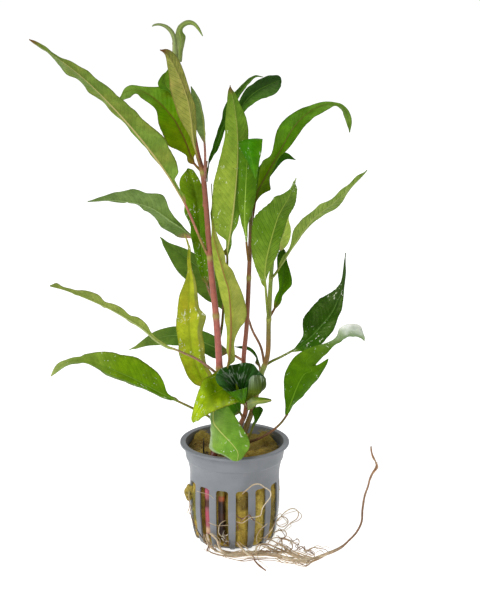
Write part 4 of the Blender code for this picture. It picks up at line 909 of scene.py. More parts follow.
def funnel_material(name, outside):
    """The cupped leaf's one side: fine folds that run from its neck to its margin, with painted silvery highlights
    where a water film lies.
    """
    n = Nodes(name)
    x, y, out = n.place()
    here = n.object_place()
    tint = n.tint()
    folds = n.noise(n.join(x, n.times(y, 0.11), 0.0), 0.7, 2, 0.6)
    fine = n.noise(n.join(n.times(x, 1.3), n.times(y, 0.2), 3.0), 0.95, 3, 0.7)
    colour = n.mix(n.ramp(folds, 0.35, 0.62), n.scaled(tint, (0.5, 0.5, 0.4)), tint)
    # painted highlight: silvery streaks of the water film, over the inside and along the outside's rim
    shine = n.times(n.ramp(fine, 0.5, 0.62), n.ramp(folds, 0.34, 0.56))
    where = n.ramp(n.noise(here, 75, 1), 0.38, 0.58)
    reach = n.times(n.ramp(out, 0.8, 0.98), n.ramp(x, 31, 36)) if outside else n.ramp(out, 0.2, 0.7)
    where = n.times(where, reach)
    amount = n.times(shine, where, 0.75)
    colour = n.mix(amount, colour, linear("#b4c4ae"))
    n.set("Base Color", colour)
    n.set("Roughness", n.ramp(fine, 0.3, 0.7, 0.42, 0.2))
    n.set("Specular IOR Level", 0.12)
    n.set("Specular Tint", (0.8, 1.0, 0.5, 1.0))
    n.set("Normal", n.bump(n.plus(folds, n.times(fine, 0.4)), 0.0009, 0.8))
    return n.material


def tinted_material(name, roughness, grain, bump, variation, subsurface=0.0, streaks=None):
    """A surface coloured by the mesh's tint, with grain and slight colour variation."""
    n = Nodes(name)
    here = n.object_place()
    tint = n.tint()
    speckle = n.noise(here, grain, 4)
    colour = n.mix(n.ramp(speckle, 0.35, 0.7), n.scaled(tint, (1 - variation,) * 3),
                   n.scaled(tint, (1 + variation * 0.6,) * 3))
    if streaks is not None:
        x, y, z = n.split(here)
        lines = n.noise(n.join(n.times(x, 6.0), n.times(y, 6.0), z), grain * 0.4, 3, 0.7)
        colour = n.mix(n.ramp(lines, 0.58, 0.72, 0.0, 0.6), colour, linear(streaks))
    n.set("Base Color", colour)
    n.set("Roughness", n.ramp(speckle, 0.2, 0.8, roughness - 0.08, roughness + 0.1))
    n.set("Normal", n.bump(speckle, bump, 0.7))
    if subsurface:
        n.set("Subsurface Weight", subsurface)
        n.set("Subsurface Radius", (0.002, 0.001, 0.0006))
        n.set("Subsurface Scale", 1.0)
    return n.material


def pot_material():
    """Grey moulded plastic with a faint grain, darker inside, and dirt towards the foot."""
    n = Nodes("pot_plastic")
    here = n.object_place()
    x, y, z = n.split(here)
    cloud = n.noise(here, 90, 3)
    grain = n.noise(here, 2600, 2)
    colour = n.mix(n.ramp(cloud, 0.3, 0.7), linear("#797d82"), linear("#818489"))
    colour = n.mix(n.times(grain, 0.25), colour, linear("#6f7378"))
    radius = n.math("POWER", n.plus(n.times(x, x), n.times(y, y)), 0.5)
    dirt = n.times(n.ramp(z, 0.016, 0.0), n.ramp(n.noise(here, 260, 4, 0.7), 0.5, 0.68))
    colour = n.mix(n.times(dirt, 0.75), colour, linear("#5a5230"))
    film = n.times(n.ramp(z, 0.03, 0.0), n.ramp(radius, 0.0228, 0.017))
    colour = n.mix(n.times(film, 0.25), colour, linear("#6d6a50"))
    n.set("Base Color", colour)
    n.set("Roughness", n.ramp(n.noise(here, 140, 3), 0.25, 0.75, 0.38, 0.52))
    n.set("Specular IOR Level", 0.45)
    n.set("Normal", n.bump(grain, 0.00003, 0.5))
    return n.material


def wool_material():
    n = Nodes("rock_wool")
    here = n.object_place()
    tint = n.tint()
    clumps = n.noise(here, 210, 4, 0.6)
    threads = n.noise(here, 1300, 4, 0.75)
    colour = n.mix(n.ramp(clumps, 0.35, 0.7), n.scaled(tint, (0.72, 0.7, 0.58)), tint)
    colour = n.mix(n.ramp(threads, 0.5, 0.72, 0.0, 0.6), colour, n.scaled(tint, (1.5, 1.5, 1.5)))
    colour = n.mix(n.ramp(threads, 0.42, 0.28, 0.0, 0.7), colour, linear("#3f3410"))
    n.set("Base Color", colour)
    n.set("Roughness", 0.85)
    n.set("Normal", n.bump(n.plus(clumps, n.times(threads, 0.5)), 0.0011, 0.9))
    return n.material


# The pot

def wall_radius(height):
    """The outer radius of the pot's wall at a height."""
    rows = ((COLLAR_RADIUS, RIM_TOP), (COLLAR_RADIUS, RIM_TOP - FLANGE), *WALL_PROFILE, (BASE_RADIUS, 0.0))
    for (upper_radius, upper), (lower_radius, lower) in zip(rows, rows[1:]):
        if height >= lower:
            share = (height - lower) / (upper - lower)
            return lower_radius + (upper_radius - lower_radius) * min(share, 1.0)
    return BASE_RADIUS


def rounded(corners, turns):
    """The profile with its corners rounded: each corner is (radius, height, rounding)."""
    made = []
    for i, (r, z, cut) in enumerate(corners):
        here = Vector((r, z))
        if cut <= 0 or i in (0, len(corners) - 1):
            made.append(here)
            continue
        before = Vector(corners[i - 1][:2]) - here
        after = Vector(corners[i + 1][:2]) - here
        cut = min(cut, before.length * 0.45, after.length * 0.45)
        a, b = here + before.normalized() * cut, here + after.normalized() * cut
        for k in range(turns + 1):
            t = k / turns
            made.append(a * (1 - t) ** 2 + here * 2 * t * (1 - t) + b * t ** 2)
    return made


def build_pot():
    wall = [(r, z, cut) for (r, z), cut in zip(WALL_PROFILE, WALL_ROUNDING)]
    outer = [(0.0, FOOT_RISE, 0), (FOOT_RISE_RADIUS, FOOT_RISE, 0.3), (FOOT_RING_RADIUS, 0.0, 0.3),
             (BASE_RADIUS, 0.0, 0.6), *reversed(wall), (COLLAR_RADIUS, RIM_TOP - FLANGE, 0.5),
             (RIM_RADIUS, RIM_TOP - FLANGE, 0.4), (RIM_RADIUS, RIM_TOP, 0.55), (RIM_OPENING, RIM_TOP, 0.45),
             (RIM_OPENING - RIM_TAPER, COLLAR_BOTTOM, 0.6)]
    inner = [(r - POT_WALL, z, cut) for r, z, cut in wall] + [(0.0, FLOOR_THICKNESS, 0)]
    profile = rounded(outer + inner, CORNER_STEPS)
    work = bmesh.new()
    rings = []
    for p in profile:
        if p.x < 1e-6:
            rings.append([work.verts.new((0, 0, p.y * MM))])
            continue
        ring = []
        for k in range(POT_SEGMENTS):
            turn = 2 * math.pi * k / POT_SEGMENTS
            ring.append(work.verts.new((p.x * MM * math.cos(turn), p.x * MM * math.sin(turn), p.y * MM)))
        rings.append(ring)
    for low, high in zip(rings, rings[1:]):
        for k in range(POT_SEGMENTS):
            j = (k + 1) % POT_SEGMENTS
            if len(low) == 1:
                work.faces.new((low[0], high[j], high[k]))
            elif len(high) == 1:
                work.faces.new((low[k], low[j], high[0]))
            else:
                work.faces.new((low[k], low[j], high[j], high[k]))
    bmesh.ops.recalc_face_normals(work, faces=work.faces)
    mesh = bpy.data.meshes.new("net_pot")
    work.to_mesh(mesh)
    work.free()
    mesh.materials.append(pot_material())
    pot = linked("net_pot", mesh)
    cut_out(pot, slot_cutters())
    cut_out(pot, drain_cutters())
    bevel = pot.modifiers.new("edges", "BEVEL")
    bevel.width = EDGE_BEVEL * MM
    bevel.segments = 2
    bevel.limit_method = "ANGLE"
    bevel.angle_limit = math.radians(BEVELLED_FROM)
    apply_modifiers(pot)
    pot.data.shade_smooth()
    pot.data.set_sharp_from_angle(angle=math.radians(SHARP_FROM))
    return pot


def slot_cutters():
    """One mesh with a block for each slot. The blocks have rounded upper corners and don't touch."""
    width = 2 * math.pi * WALL_RADIUS / RIBS - RIB_WIDTH
    work = bmesh.new()
    for i in range(RIBS):
        angle = math.radians(FIRST_RIB_ANGLE + (i + 0.5) * 360 / RIBS)
        made = bmesh.ops.create_cube(work, size=1.0)["verts"]
        bmesh.ops.scale(work, vec=(width * MM, SLOT_REACH * MM, (SLOT_TOP + SLOT_BELOW) * MM), verts=made)
        upper = [e for e in {e for v in made for e in v.link_edges} if all(v.co.z > 0 for v in e.verts)
                 and abs(e.verts[0].co.x - e.verts[1].co.x) < MM / 1000]
        before = set(work.verts) - set(made)
        bmesh.ops.bevel(work, geom=upper, offset=SLOT_ROUNDING * MM, segments=5, affect="EDGES", profile=0.5)
        made = [v for v in work.verts if v not in before]
        middle = SLOT_INNER_RADIUS + SLOT_REACH / 2
        for v in made:
            v.co.z += (SLOT_TOP - SLOT_BELOW) / 2 * MM
            x, y = v.co.x, v.co.y - middle * MM
            v.co.x = x * math.cos(angle) - y * math.sin(angle)
            v.co.y = x * math.sin(angle) + y * math.cos(angle)
    return work


def drain_cutters():
    work = bmesh.new()
    for i in range(DRAIN_HOLES):
        angle = 2 * math.pi * i / DRAIN_HOLES
        made = bmesh.ops.create_cone(work, cap_ends=True, segments=24, radius1=DRAIN_RADIUS * MM,
                                     radius2=DRAIN_RADIUS * MM, depth=4 * FLOOR_THICKNESS * MM)["verts"]
        shift = Vector((math.cos(angle), math.sin(angle), 0)) * DRAIN_RING_RADIUS * MM
        bmesh.ops.translate(work, vec=shift, verts=made)
    return work


def cut_out(target, work):
    mesh = bpy.data.meshes.new("cutter")
    work.to_mesh(mesh)
    work.free()
    cutter = linked("cutter", mesh)
    cut = target.modifiers.new("cut", "BOOLEAN")
    cut.operation = "DIFFERENCE"
    cut.solver = "EXACT"
    cut.object = cutter
    apply_modifiers(target)
    bpy.data.objects.remove(cutter)
    bpy.data.meshes.remove(mesh)


def apply_modifiers(target):
    """Replaces the object's mesh with what its modifiers make."""
    bpy.context.view_layer.update()
    evaluated = target.evaluated_get(bpy.context.evaluated_depsgraph_get())
    mesh = bpy.data.meshes.new_from_object(evaluated)
    target.modifiers.clear()
    old = target.data
    target.data = mesh
    bpy.data.meshes.remove(old)
    mesh.name = target.name


# The wool

def slot_share(angle, height):
    """1 in the middle of a slot and 0 behind a rib (angle in degrees from the front, right positive)."""
    pitch = 360 / RIBS
    off = abs((angle - FIRST_RIB_ANGLE + pitch / 2) % pitch - pitch / 2) / pitch * 2
    across = clamp((off - BULGE_FROM) / BULGE_OVER)
    upward = clamp((SLOT_TOP - BULGE_BELOW - height) / BULGE_FADE)
    return across * upward


def wool_limit(angle, height):
    if height > COLLAR_BOTTOM:
        inner = RIM_OPENING
    else:
        inner = wall_radius(height) - POT_WALL
    off = (angle - RECESS_ANGLE + 180) % 360 - 180
    below = clamp((RECESS_TOP - height) / RECESS_TOP_FADE)
    below *= clamp((height - RECESS_BOTTOM) / RECESS_BOTTOM_FADE)
    recess = RECESS_DEPTH * max(0.0, 1 - (off / RECESS_HALF_ANGLE) ** 4) * below
    above = 1 - clamp((WOOL_TOP - height) / SIDE_GAP_HEIGHT)
    gap = SIDE_GAP * math.exp(-((angle - SIDE_GAP_ANGLE) / SIDE_GAP_SPREAD) ** 2) * above
    bulge = WOOL_BULGE * slot_share(angle, height) if recess < 0.5 else 0.0
    return inner - WOOL_CLEARANCE - recess - gap + bulge


def wool_top(x, y):
    height = WOOL_TOP + 0.5 * math.sin(0.45 * x + 0.8) * math.cos(0.5 * y)
    for lump_x, lump_y, size, rise in LUMPS:
        height += rise * math.exp(-((x - lump_x) ** 2 + (y - lump_y) ** 2) / size ** 2)
    return height


def wool_point(angle, share):
    """A point of the wool's surface."""
    turn = math.radians(angle)
    height = None
    if share < WOOL_EDGE_SHARE:
        outward = share / WOOL_EDGE_SHARE
        reach = wool_limit(angle, WOOL_EDGE_LEVEL) * math.sin(outward * math.pi / 2)
    elif share < WOOL_FOOT_SHARE:
        down = (share - WOOL_EDGE_SHARE) / (WOOL_FOOT_SHARE - WOOL_EDGE_SHARE)
        height = WOOL_SIDE_TOP + (WOOL_BOTTOM - WOOL_SIDE_TOP) * down
        reach = wool_limit(angle, height)
        if height < WOOL_FOOT_HEIGHT:
            reach -= (WOOL_FOOT_HEIGHT - height) * WOOL_FOOT_TAPER
    else:
        height = WOOL_BOTTOM
        reach = (wool_limit(angle, height) - WOOL_UNDERSIDE_INSET) * (1 - share) / (1 - WOOL_FOOT_SHARE)
    x, y = reach * math.sin(turn), -reach * math.cos(turn)
    if height is None:
        edge = outward ** 10
        height = wool_top(x, y) * (1 - edge) + min(wool_top(x, y), WOOL_EDGE_CEILING) * edge
    return Vector((x, y, height))


def wool_colour(p):
    shade = clamp(0.5 + 0.9 * noise.noise(p * 0.21))
    moss = clamp(0.5 + 0.9 * noise.noise(p * 0.12 + Vector((5, 2, 9))))
    colour = mixed(linear("#886a26"), linear("#bca446"), shade)
    colour = mixed(colour, linear("#86761a"), 0.4 * moss)
    raised = clamp((p.z - WOOL_TOP - 1.0) / 3)
    colour = mixed(colour, linear("#b8a444"), 0.6 * raised)
    # painted light: the wool that shows in the slots is brightened to make up for the shade of the ribs around it
    outer = clamp((math.hypot(p.x, p.y) - 17.0) / 3) if p.z < SLOT_TOP + 3 else 0.0
    colour = tuple(c * (1 + 0.4 * outer) for c in colour)
    # the wool's own patches, and the dark one along the slit, which is painted shade
    for place, reach, tint in WOOL_TONES_AND_SLIT_SHADE:
        off = Vector([(a - b) / c for a, b, c in zip(p, place, reach)]).length
        edge = 0.35 * noise.noise(p * 0.35)
        colour = mixed(colour, linear(tint), clamp((1.15 + edge - off) * 2.5))
    return colour


def build_wool():
    mesh = Mesh()
    points, colours = [], []
    for i in range(WOOL_ROWS + 1):
        share = i / WOOL_ROWS
        for k in range(WOOL_TURNS):
            angle = 360 * k / WOOL_TURNS
            p = wool_point(angle, share)
            out = Vector((p.x, p.y, 0))
            out = out.normalized() if out.length > 0.1 else Vector((0, 0, 1))
            rough = noise.fractal(p * 0.34, 0.9, 2.1, 4)
            if share < WOOL_EDGE_SHARE:
                p = p + Vector((0, 0, 1)) * rough * 0.9 * min(1.0, (WOOL_EDGE_SHARE + 0.02 - share) * 20)
            elif share < WOOL_FOOT_SHARE:
                p = p + out * (rough * 0.5 - 0.2)
            points.append(p)
            colours.append(wool_colour(p))
    mesh.add(points, ring_faces(WOOL_ROWS, WOOL_TURNS), colours)
    points, colours = [], []
    middle, sizes = Vector(CLUMP[0]), CLUMP[1]
    for i in range(CLUMP_ROWS + 1):
        lean = math.pi * i / CLUMP_ROWS
        for k in range(CLUMP_TURNS):
            turn = 2 * math.pi * k / CLUMP_TURNS
            way = Vector((math.sin(lean) * math.cos(turn), math.sin(lean) * math.sin(turn), math.cos(lean)))
            grown = 1 + 0.35 * noise.noise(way * 1.4 + Vector((3, 1, 7)))
            points.append(middle + Vector([w * r * grown for w, r in zip(way, sizes)]))
            speck = noise.noise(way * 4.5)
            colours.append(linear("#5a4c20") if speck > 0.36 else linear("#b4a04c"))
    mesh.add(points, ring_faces(CLUMP_ROWS, CLUMP_TURNS), colours)
    return mesh.build("wool_plug", [wool_material()])


def build_fibres():
    """Short loose fibres on the wool's top and in the slots."""
    mesh = Mesh()
    for _ in range(FIBRES):
        angle = RNG.uniform(0, 360)
        on_top = RNG.random() < FIBRES_ON_TOP
        share = WOOL_EDGE_SHARE * math.sqrt(RNG.random()) if on_top else RNG.uniform(0.5, 0.9)
        p = wool_point(angle, share)
        turn = math.radians(angle)
        out = Vector((math.sin(turn), -math.cos(turn), 0))
        normal = Vector((0, 0, 1)) if on_top else out
        if not on_top and slot_share(angle, p.z) < 0.6:
            continue
        lie = Vector(RNG.normal(0, 1, 3))
        lie = (lie - normal * lie.dot(normal)).normalized()
        length = RNG.uniform(*FIBRE_LENGTHS)
        rise = RNG.uniform(0.1, 0.7) if on_top else RNG.uniform(0.0, 0.35)
        bend = Vector(RNG.normal(0, 1, 3)) * 0.35
        start = p - normal * 0.3
        route = [start, start + lie * length * 0.5 + normal * (rise + 0.3) + bend * 0.3,
                 start + lie * length + normal * (rise * RNG.uniform(0.2, 1.6)) + bend]
        limit = RIM_OPENING - 0.3 if p.z > 44 else 60
        if any(math.hypot(q.x, q.y) > limit or q.z < 0.3 for q in route):
            continue
        path = smooth_path(route, 5)
        size = RNG.uniform(*FIBRE_RADII)
        points, faces = tube_rings(path, [size, size, size, size * 0.8, size * 0.4], 3)
        light = RNG.uniform(0.0, 1.0)
        tint = mixed(wool_colour(p), linear("#cdbb66"), 0.7 * light)
        mesh.add(points, faces, [tint] * len(points))
    # the slit: a near-black strand, painted shade of its depth
    strand(mesh, [seen(*p) for p in SLIT], (0.5, 0.4, 0.2), ("#140f06", "#1c140a", "#241a0c"))
    return mesh.build("wool_fibres", [tinted_material("wool_fibre", 0.6, 900, 0.00002, 0.2)])


# Stems

def build_stem(name, row):
    """A stem with swollen rings where the leaves join."""
    mesh = Mesh()
    path = smooth_path(row["route"], STEM_RINGS)
    tints = [linear(c) for c in row["colours"]]
    sizes, shades, places = [], [], []
    for i, p in enumerate(path):
        share = i / (STEM_RINGS - 1)
        near = max([math.exp(-((p.z - h) / NODE_REACH) ** 2) for h in row["node_heights"]] + [0.0])
        size = along(row["radii"], share) * (1 + NODE_SWELL * near) * (1 + 0.03 * noise.noise(p * 0.25))
        sizes.append(size)
        tint = mixed(tint_along(tints, share), linear(NODE_COLOUR), 0.7 * near)
        for height, reach, patch in row["patches"]:
            off = abs(p.z - height) / reach
            tint = mixed(tint, linear(patch), clamp((1.2 - off) * 2))
        for k in range(STEM_SIDES):
            turn = 2 * math.pi * k / STEM_SIDES
            ridge = 0.5 + 0.5 * noise.noise(Vector((math.cos(turn) * 2, math.sin(turn) * 2, p.z * 0.05)))
            shades.append(mixed(tint, tuple(c * 0.72 for c in tint), ridge * 0.6))
            places.append((turn, p.z, 0))
    points, faces = tube_rings(path, sizes, STEM_SIDES)
    for i, middle in enumerate(path):
        for k in range(STEM_SIDES):
            groove = STEM_GROOVE * math.cos(4 * (2 * math.pi * k / STEM_SIDES) + 0.3)
            at = i * STEM_SIDES + k
            points[at] = middle + (points[at] - middle) * (1 + groove)
    mesh.add(points, faces, shades, places)
    look_of = tinted_material(name + "_skin", 0.36, 520, 0.00008, 0.14, 0.06, row["streak"])
    return mesh.build(name + "_fine", [look_of])


# Leaves

def outline(share, row, widest):
    """Width of the blade at a share of its length, from 0 to 1."""
    if share <= 0:
        return 0.0
    power = math.log(0.5) / math.log(widest)
    around = math.sin(math.pi * min(share, 1.0) ** power)
    width = max(around, 0.0) ** row["full"]
    if share > widest:
        closing = min(1.0, max(1.0 - share, 0.0) * 14) ** 0.5
        width = max(width, row["tip"] * (1 - 0.5 * (share - widest)) * closing)
    return width


def side_points(half_width, fold, bend):
    """Out, up and angle from the midrib to the margin, for a side that is folded and bent upward."""
    out, up = 0.0, 0.0
    made = [(0.0, 0.0, 0.0)]
    for i in range(HALF_STEPS):
        angle = math.radians(fold + bend * (i + 0.5) / HALF_STEPS)
        out += half_width / HALF_STEPS * math.cos(angle)
        up += half_width / HALF_STEPS * math.sin(angle)
        made.append((out, up, angle))
    return made


def in_photo(p):
    """Where the photograph shows a point (mm)."""
    from_camera = p - CAMERA
    depth = from_camera.y * math.cos(LOOKING_DOWN) - from_camera.z * math.sin(LOOKING_DOWN)
    height = from_camera.y * math.sin(LOOKING_DOWN) + from_camera.z * math.cos(LOOKING_DOWN)
    return Vector((PHOTO_SIZE[0] / 2 + FOCAL_PIXELS * from_camera.x / depth,
                   PHOTO_SIZE[1] / 2 - FOCAL_PIXELS * height / depth))


def reach_to(start, step, lines, limit):
    """How many steps lead from a place in the photograph to the nearest of the lines, or None."""
    best = None
    for line in lines:
        for a, b in zip(line, line[1:]):
            edge = b - a
            turn = step.x * edge.y - step.y * edge.x
            if abs(turn) < 1e-9:
                continue
            off = a - start
            steps = (off.x * edge.y - off.y * edge.x) / turn
            share = (off.x * step.y - off.y * step.x) / turn
            if 0.0 < steps < limit and 0.0 <= share <= 1.0 and (best is None or steps < best):
                best = steps
    return best


def fitted_widths(stations, nominal, margins, direction):
    """Half-widths that bring the margin to where the photograph shows it."""
    if margins is None:
        return nominal
    lines = [[Vector((q.x, q.y)) for q in smooth_path([(*p, 0.0) for p in line], 4 * len(line))]
             for line in margins]
    ratios = []
    for station, half, way in zip(stations, nominal, direction):
        start = in_photo(station["place"])
        step = in_photo(station["place"] + way) - start
        found = None
        if station["blade"] > 0.03 and step.length > 0.9:
            found = reach_to(start, step, lines, max(half * 2.0, 1.0) + 2.5)
        ratios.append(None if found is None or half < 0.5 else clamp(found / half, 0.3, 3.0))
    known = [i for i, r in enumerate(ratios) if r is not None]
    widths = []
    for i, half in enumerate(nominal):
        if ratios[i] is not None:
            ratio = ratios[i]
        elif known:
            near = min(known, key=lambda k: abs(k - i))
            ratio = 1 + (ratios[near] - 1) * math.exp(-abs(near - i) / 6)
        else:
            ratio = 1.0
        widths.append(half * ratio)
    for _ in range(2):
        inner = [(a + 2 * b + c) / 4 for a, b, c in zip(widths, widths[1:], widths[2:])]
        widths = [widths[0], *inner, widths[-1]]
    return widths


def build_leaf(name, row, shown, drop_glints):
    """A thin two-sided blade with a raised midrib below, wavy margins, and its stalk."""
    path = smooth_path(row["rib"], ROUTE_POINTS)
    length = sum((b - a).length for a, b in zip(path, path[1:]))
    petiole_share = max(row["petiole"], SHORTEST_STALK) / length
    blade_length = length * (1 - petiole_share)
    stalk_rows = max(4, int(row["petiole"] / STALK_STEP))
    blade_rows = max(30, int(blade_length / BLADE_STEP))
    shares = [petiole_share * i / stalk_rows for i in range(stalk_rows)]
    shares += [petiole_share + (1 - petiole_share) * i / blade_rows for i in range(blade_rows + 1)]
    faces_to = [Vector(f).normalized() for f in row["face"]]
    tints = [linear(c) for c in shown["colours"]]
    stalk_tint = linear(shown["stalk"])
    seed = seed_of(name)
    front_is_upper = shown["side"] == "upper"
    back_tint, back_share = OTHER_IS_UNDER if front_is_upper else OTHER_IS_UPPER
    stations = []
    for share in shares:
        forward = (along(path, min(share + AHEAD, 1.0)) - along(path, max(share - AHEAD, 0.0))).normalized()
        right = forward.cross(along(faces_to, share)).normalized()
        stations.append(dict(share=share, blade=(share - petiole_share) / (1 - petiole_share),
                             place=along(path, share), right=right, up=right.cross(forward)))
    halves = []
    for side, sign in ((row["left"], -1), (row["right"], 1)):
        widest = side[3] if len(side) > 3 else row["widest"]
        nominal, direction = [], []
        for st in stations:
            width = outline(st["blade"], row, widest)
            nominal.append(side[0] * width)
            angle = math.radians((side[1] + side[2] / 2) * min(width * 2, 1.0))
            direction.append(st["right"] * math.cos(angle) * sign + st["up"] * math.sin(angle))
        halves.append(fitted_widths(stations, nominal, MARGINS.get(name), direction))
    upper, lower, upper_tints, lower_tints, places, ways = [], [], [], [], [], []
    for i, st in enumerate(stations):
        share, blade_share, up, right = st["share"], st["blade"], st["up"], st["right"]
        y = blade_share * blade_length
        in_blade = clamp(y / BLADE_START)
        size = PETIOLE_RADIUS * (1.12 - 0.2 * min(share / max(petiole_share, 0.01), 1.0))
        sides = []
        for side, sign, widths in ((row["left"], -1, halves[0]), (row["right"], 1, halves[1])):
            saw = abs((y / TOOTH_SPACING + seed + sign * 0.3) % 1.0 - 0.5) * 2 - 0.6
            tooth = 1 + shown["teeth"] * TOOTH_DEPTH * saw * in_blade
            tooth += 0.02 * noise.noise(Vector((y * 0.5, sign * 3.0, seed))) * in_blade
            if shown["notch"] and sign == shown["notch"][0]:
                tooth -= shown["notch"][2] * math.exp(-(((blade_share - shown["notch"][1]) / 0.012) ** 2))
            least = size * (1 - 0.4 * in_blade) if blade_share < 0.5 else TIP_HALF_WIDTH
            half = max(widths[i] * tooth, least)
            width = widths[i] / max(side[0], 0.1)
            flatness = min(width * 2, 1.0)
            sides.append((half, side_points(half, side[1] * flatness, side[2] * flatness), width))
        for column in range(-HALF_STEPS, HALF_STEPS + 1):
            half, made, width = sides[1 if column > 0 else 0]
            out, rise, angle = made[abs(column)]
            a = abs(column) / HALF_STEPS
            x = math.copysign(out, column)
            swell = noise.noise(Vector((x * 0.11, y * 0.11, seed)))
            ripple = math.sin(y * 0.42 + seed * 5 + (1.7 if column > 0 else 0.0) + swell * 3)
            lift = shown["wave"] * ripple * a ** 2.2 * min(width * 1.5, 1.0) * in_blade
            lift += 0.5 * shown["wave"] * swell * min(a * 2, 1.0) * in_blade
            lift -= FURROW_DEPTH * math.exp(-(x / FURROW_REACH) ** 2) * in_blade
            place = st["place"] + right * x + up * (rise + lift)
            tilt = angle * (1 if column > 0 else -1)
            normal = up * math.cos(tilt) - right * math.sin(tilt)
            round_half = math.sqrt(max(size ** 2 - min(abs(x), size) ** 2, 0.0))
            blade_half = LEAF_THICKNESS / 2 * (1 - 0.55 * a * a)
            keel = MIDRIB_THICKNESS * (1 - 0.7 * max(blade_share, 0.0))
            keel = keel * math.exp(-(x / KEEL_REACH) ** 2) * in_blade
            top = round_half * (1 - in_blade) + blade_half * in_blade
            bottom = round_half * (1 - in_blade) + (blade_half + keel) * in_blade
            upper.append(place + normal * top)
            lower.append(place - normal * bottom)
            tint = mixed(stalk_tint, tint_along(tints, max(blade_share, 0.0)), in_blade)
            back = mixed(tint, linear(back_tint), back_share * in_blade)
            upper_tints.append(tint if front_is_upper else back)
            lower_tints.append(back if front_is_upper else tint)
            places.append((x, y, a))
            ways.append(normal)
    front, behind, rim = thin_body(len(shares), 2 * HALF_STEPS + 1, False)
    mesh = Mesh()
    mesh.points, mesh.colours, mesh.places = upper + lower, upper_tints + lower_tints, places + places
    mesh.faces = front + behind + rim
    mesh.slots = [0] * len(front) + [1] * len(behind) + [0 if front_is_upper else 1] * len(rim)
    looks = leaf_looks(name, shown, blade_length)
    if shown["drops"]:
        surface = [(p, w) if front_is_upper else (q, -w) for p, q, w, place in zip(upper, lower, ways, places)
                   if place[1] > 3 and 0.1 < place[2] < 0.93]
        add_drops(mesh, surface, shown["drops"], int(seed * 100))
        looks.append(drop_glints)
    return mesh.build(name + "_blade", looks)


def leaf_looks(name, shown, blade_length):
    """The materials of a leaf's upper side and underside."""
    front_is_upper = shown["side"] == "upper"
    looks = []
    for under in (False, True):
        gloss = shown["gloss"] if under != front_is_upper else (0.25 if front_is_upper else 0.5)
        looks.append(leaf_material(name + ("_under" if under else "_upper"), shown, blade_length, under, gloss))
    return looks


def add_drops(mesh, surface, count, seed):
    """Flat drops of water in a few clusters on a surface, given as points and the way each faces."""
    rng = np.random.default_rng(seed)
    turns, rings = DROP_TURNS, DROP_RINGS
    middles = [surface[int(rng.integers(len(surface)))][0] for _ in range(max(1, count // DROPS_TOGETHER))]
    near = [item for item in surface if min((item[0] - m).length for m in middles) < DROP_CLUSTER]
    for _ in range(count):
        place, way = near[int(rng.integers(len(near)))]
        way = way.normalized()
        first = way.orthogonal().normalized()
        turn = rng.uniform(0, math.pi)
        second = way.cross(first)
        first, second = (first * math.cos(turn) + second * math.sin(turn),
                         second * math.cos(turn) - first * math.sin(turn))
        size = rng.uniform(*DROP_RADII)
        long_by = rng.uniform(*DROP_STRETCH)
        points = [place + way * size * DROP_HEIGHT]
        for ring in range(1, rings + 1):
            lean = ring / rings * math.pi / 2
            for k in range(turns):
                angle = 2 * math.pi * k / turns
                flat = (first * math.cos(angle) * long_by + second * math.sin(angle)) * size * math.sin(lean)
                sunk = 0.05 if ring == rings else 0
                points.append(place + flat + way * (size * DROP_HEIGHT * math.cos(lean) - sunk))
        faces = [(0, 1 + k, 1 + (k + 1) % turns) for k in range(turns)]
        faces += [tuple(1 + p for p in face) for face in ring_faces(rings - 1, turns)]
        faces.append(tuple(1 + (rings - 1) * turns + k for k in reversed(range(turns))))
        mesh.add(points, faces, slot=2)


def spline(points, count):
    """Points on a smooth curve through the given ones, evenly spread between them by number."""
    knots = with_ends(points)
    made = []
    for i in range(count):
        place = i / (count - 1) * (len(points) - 1)
        k = min(int(place), len(points) - 2)
        made.append(curve_at(*knots[k:k + 4], place - k))
    return made


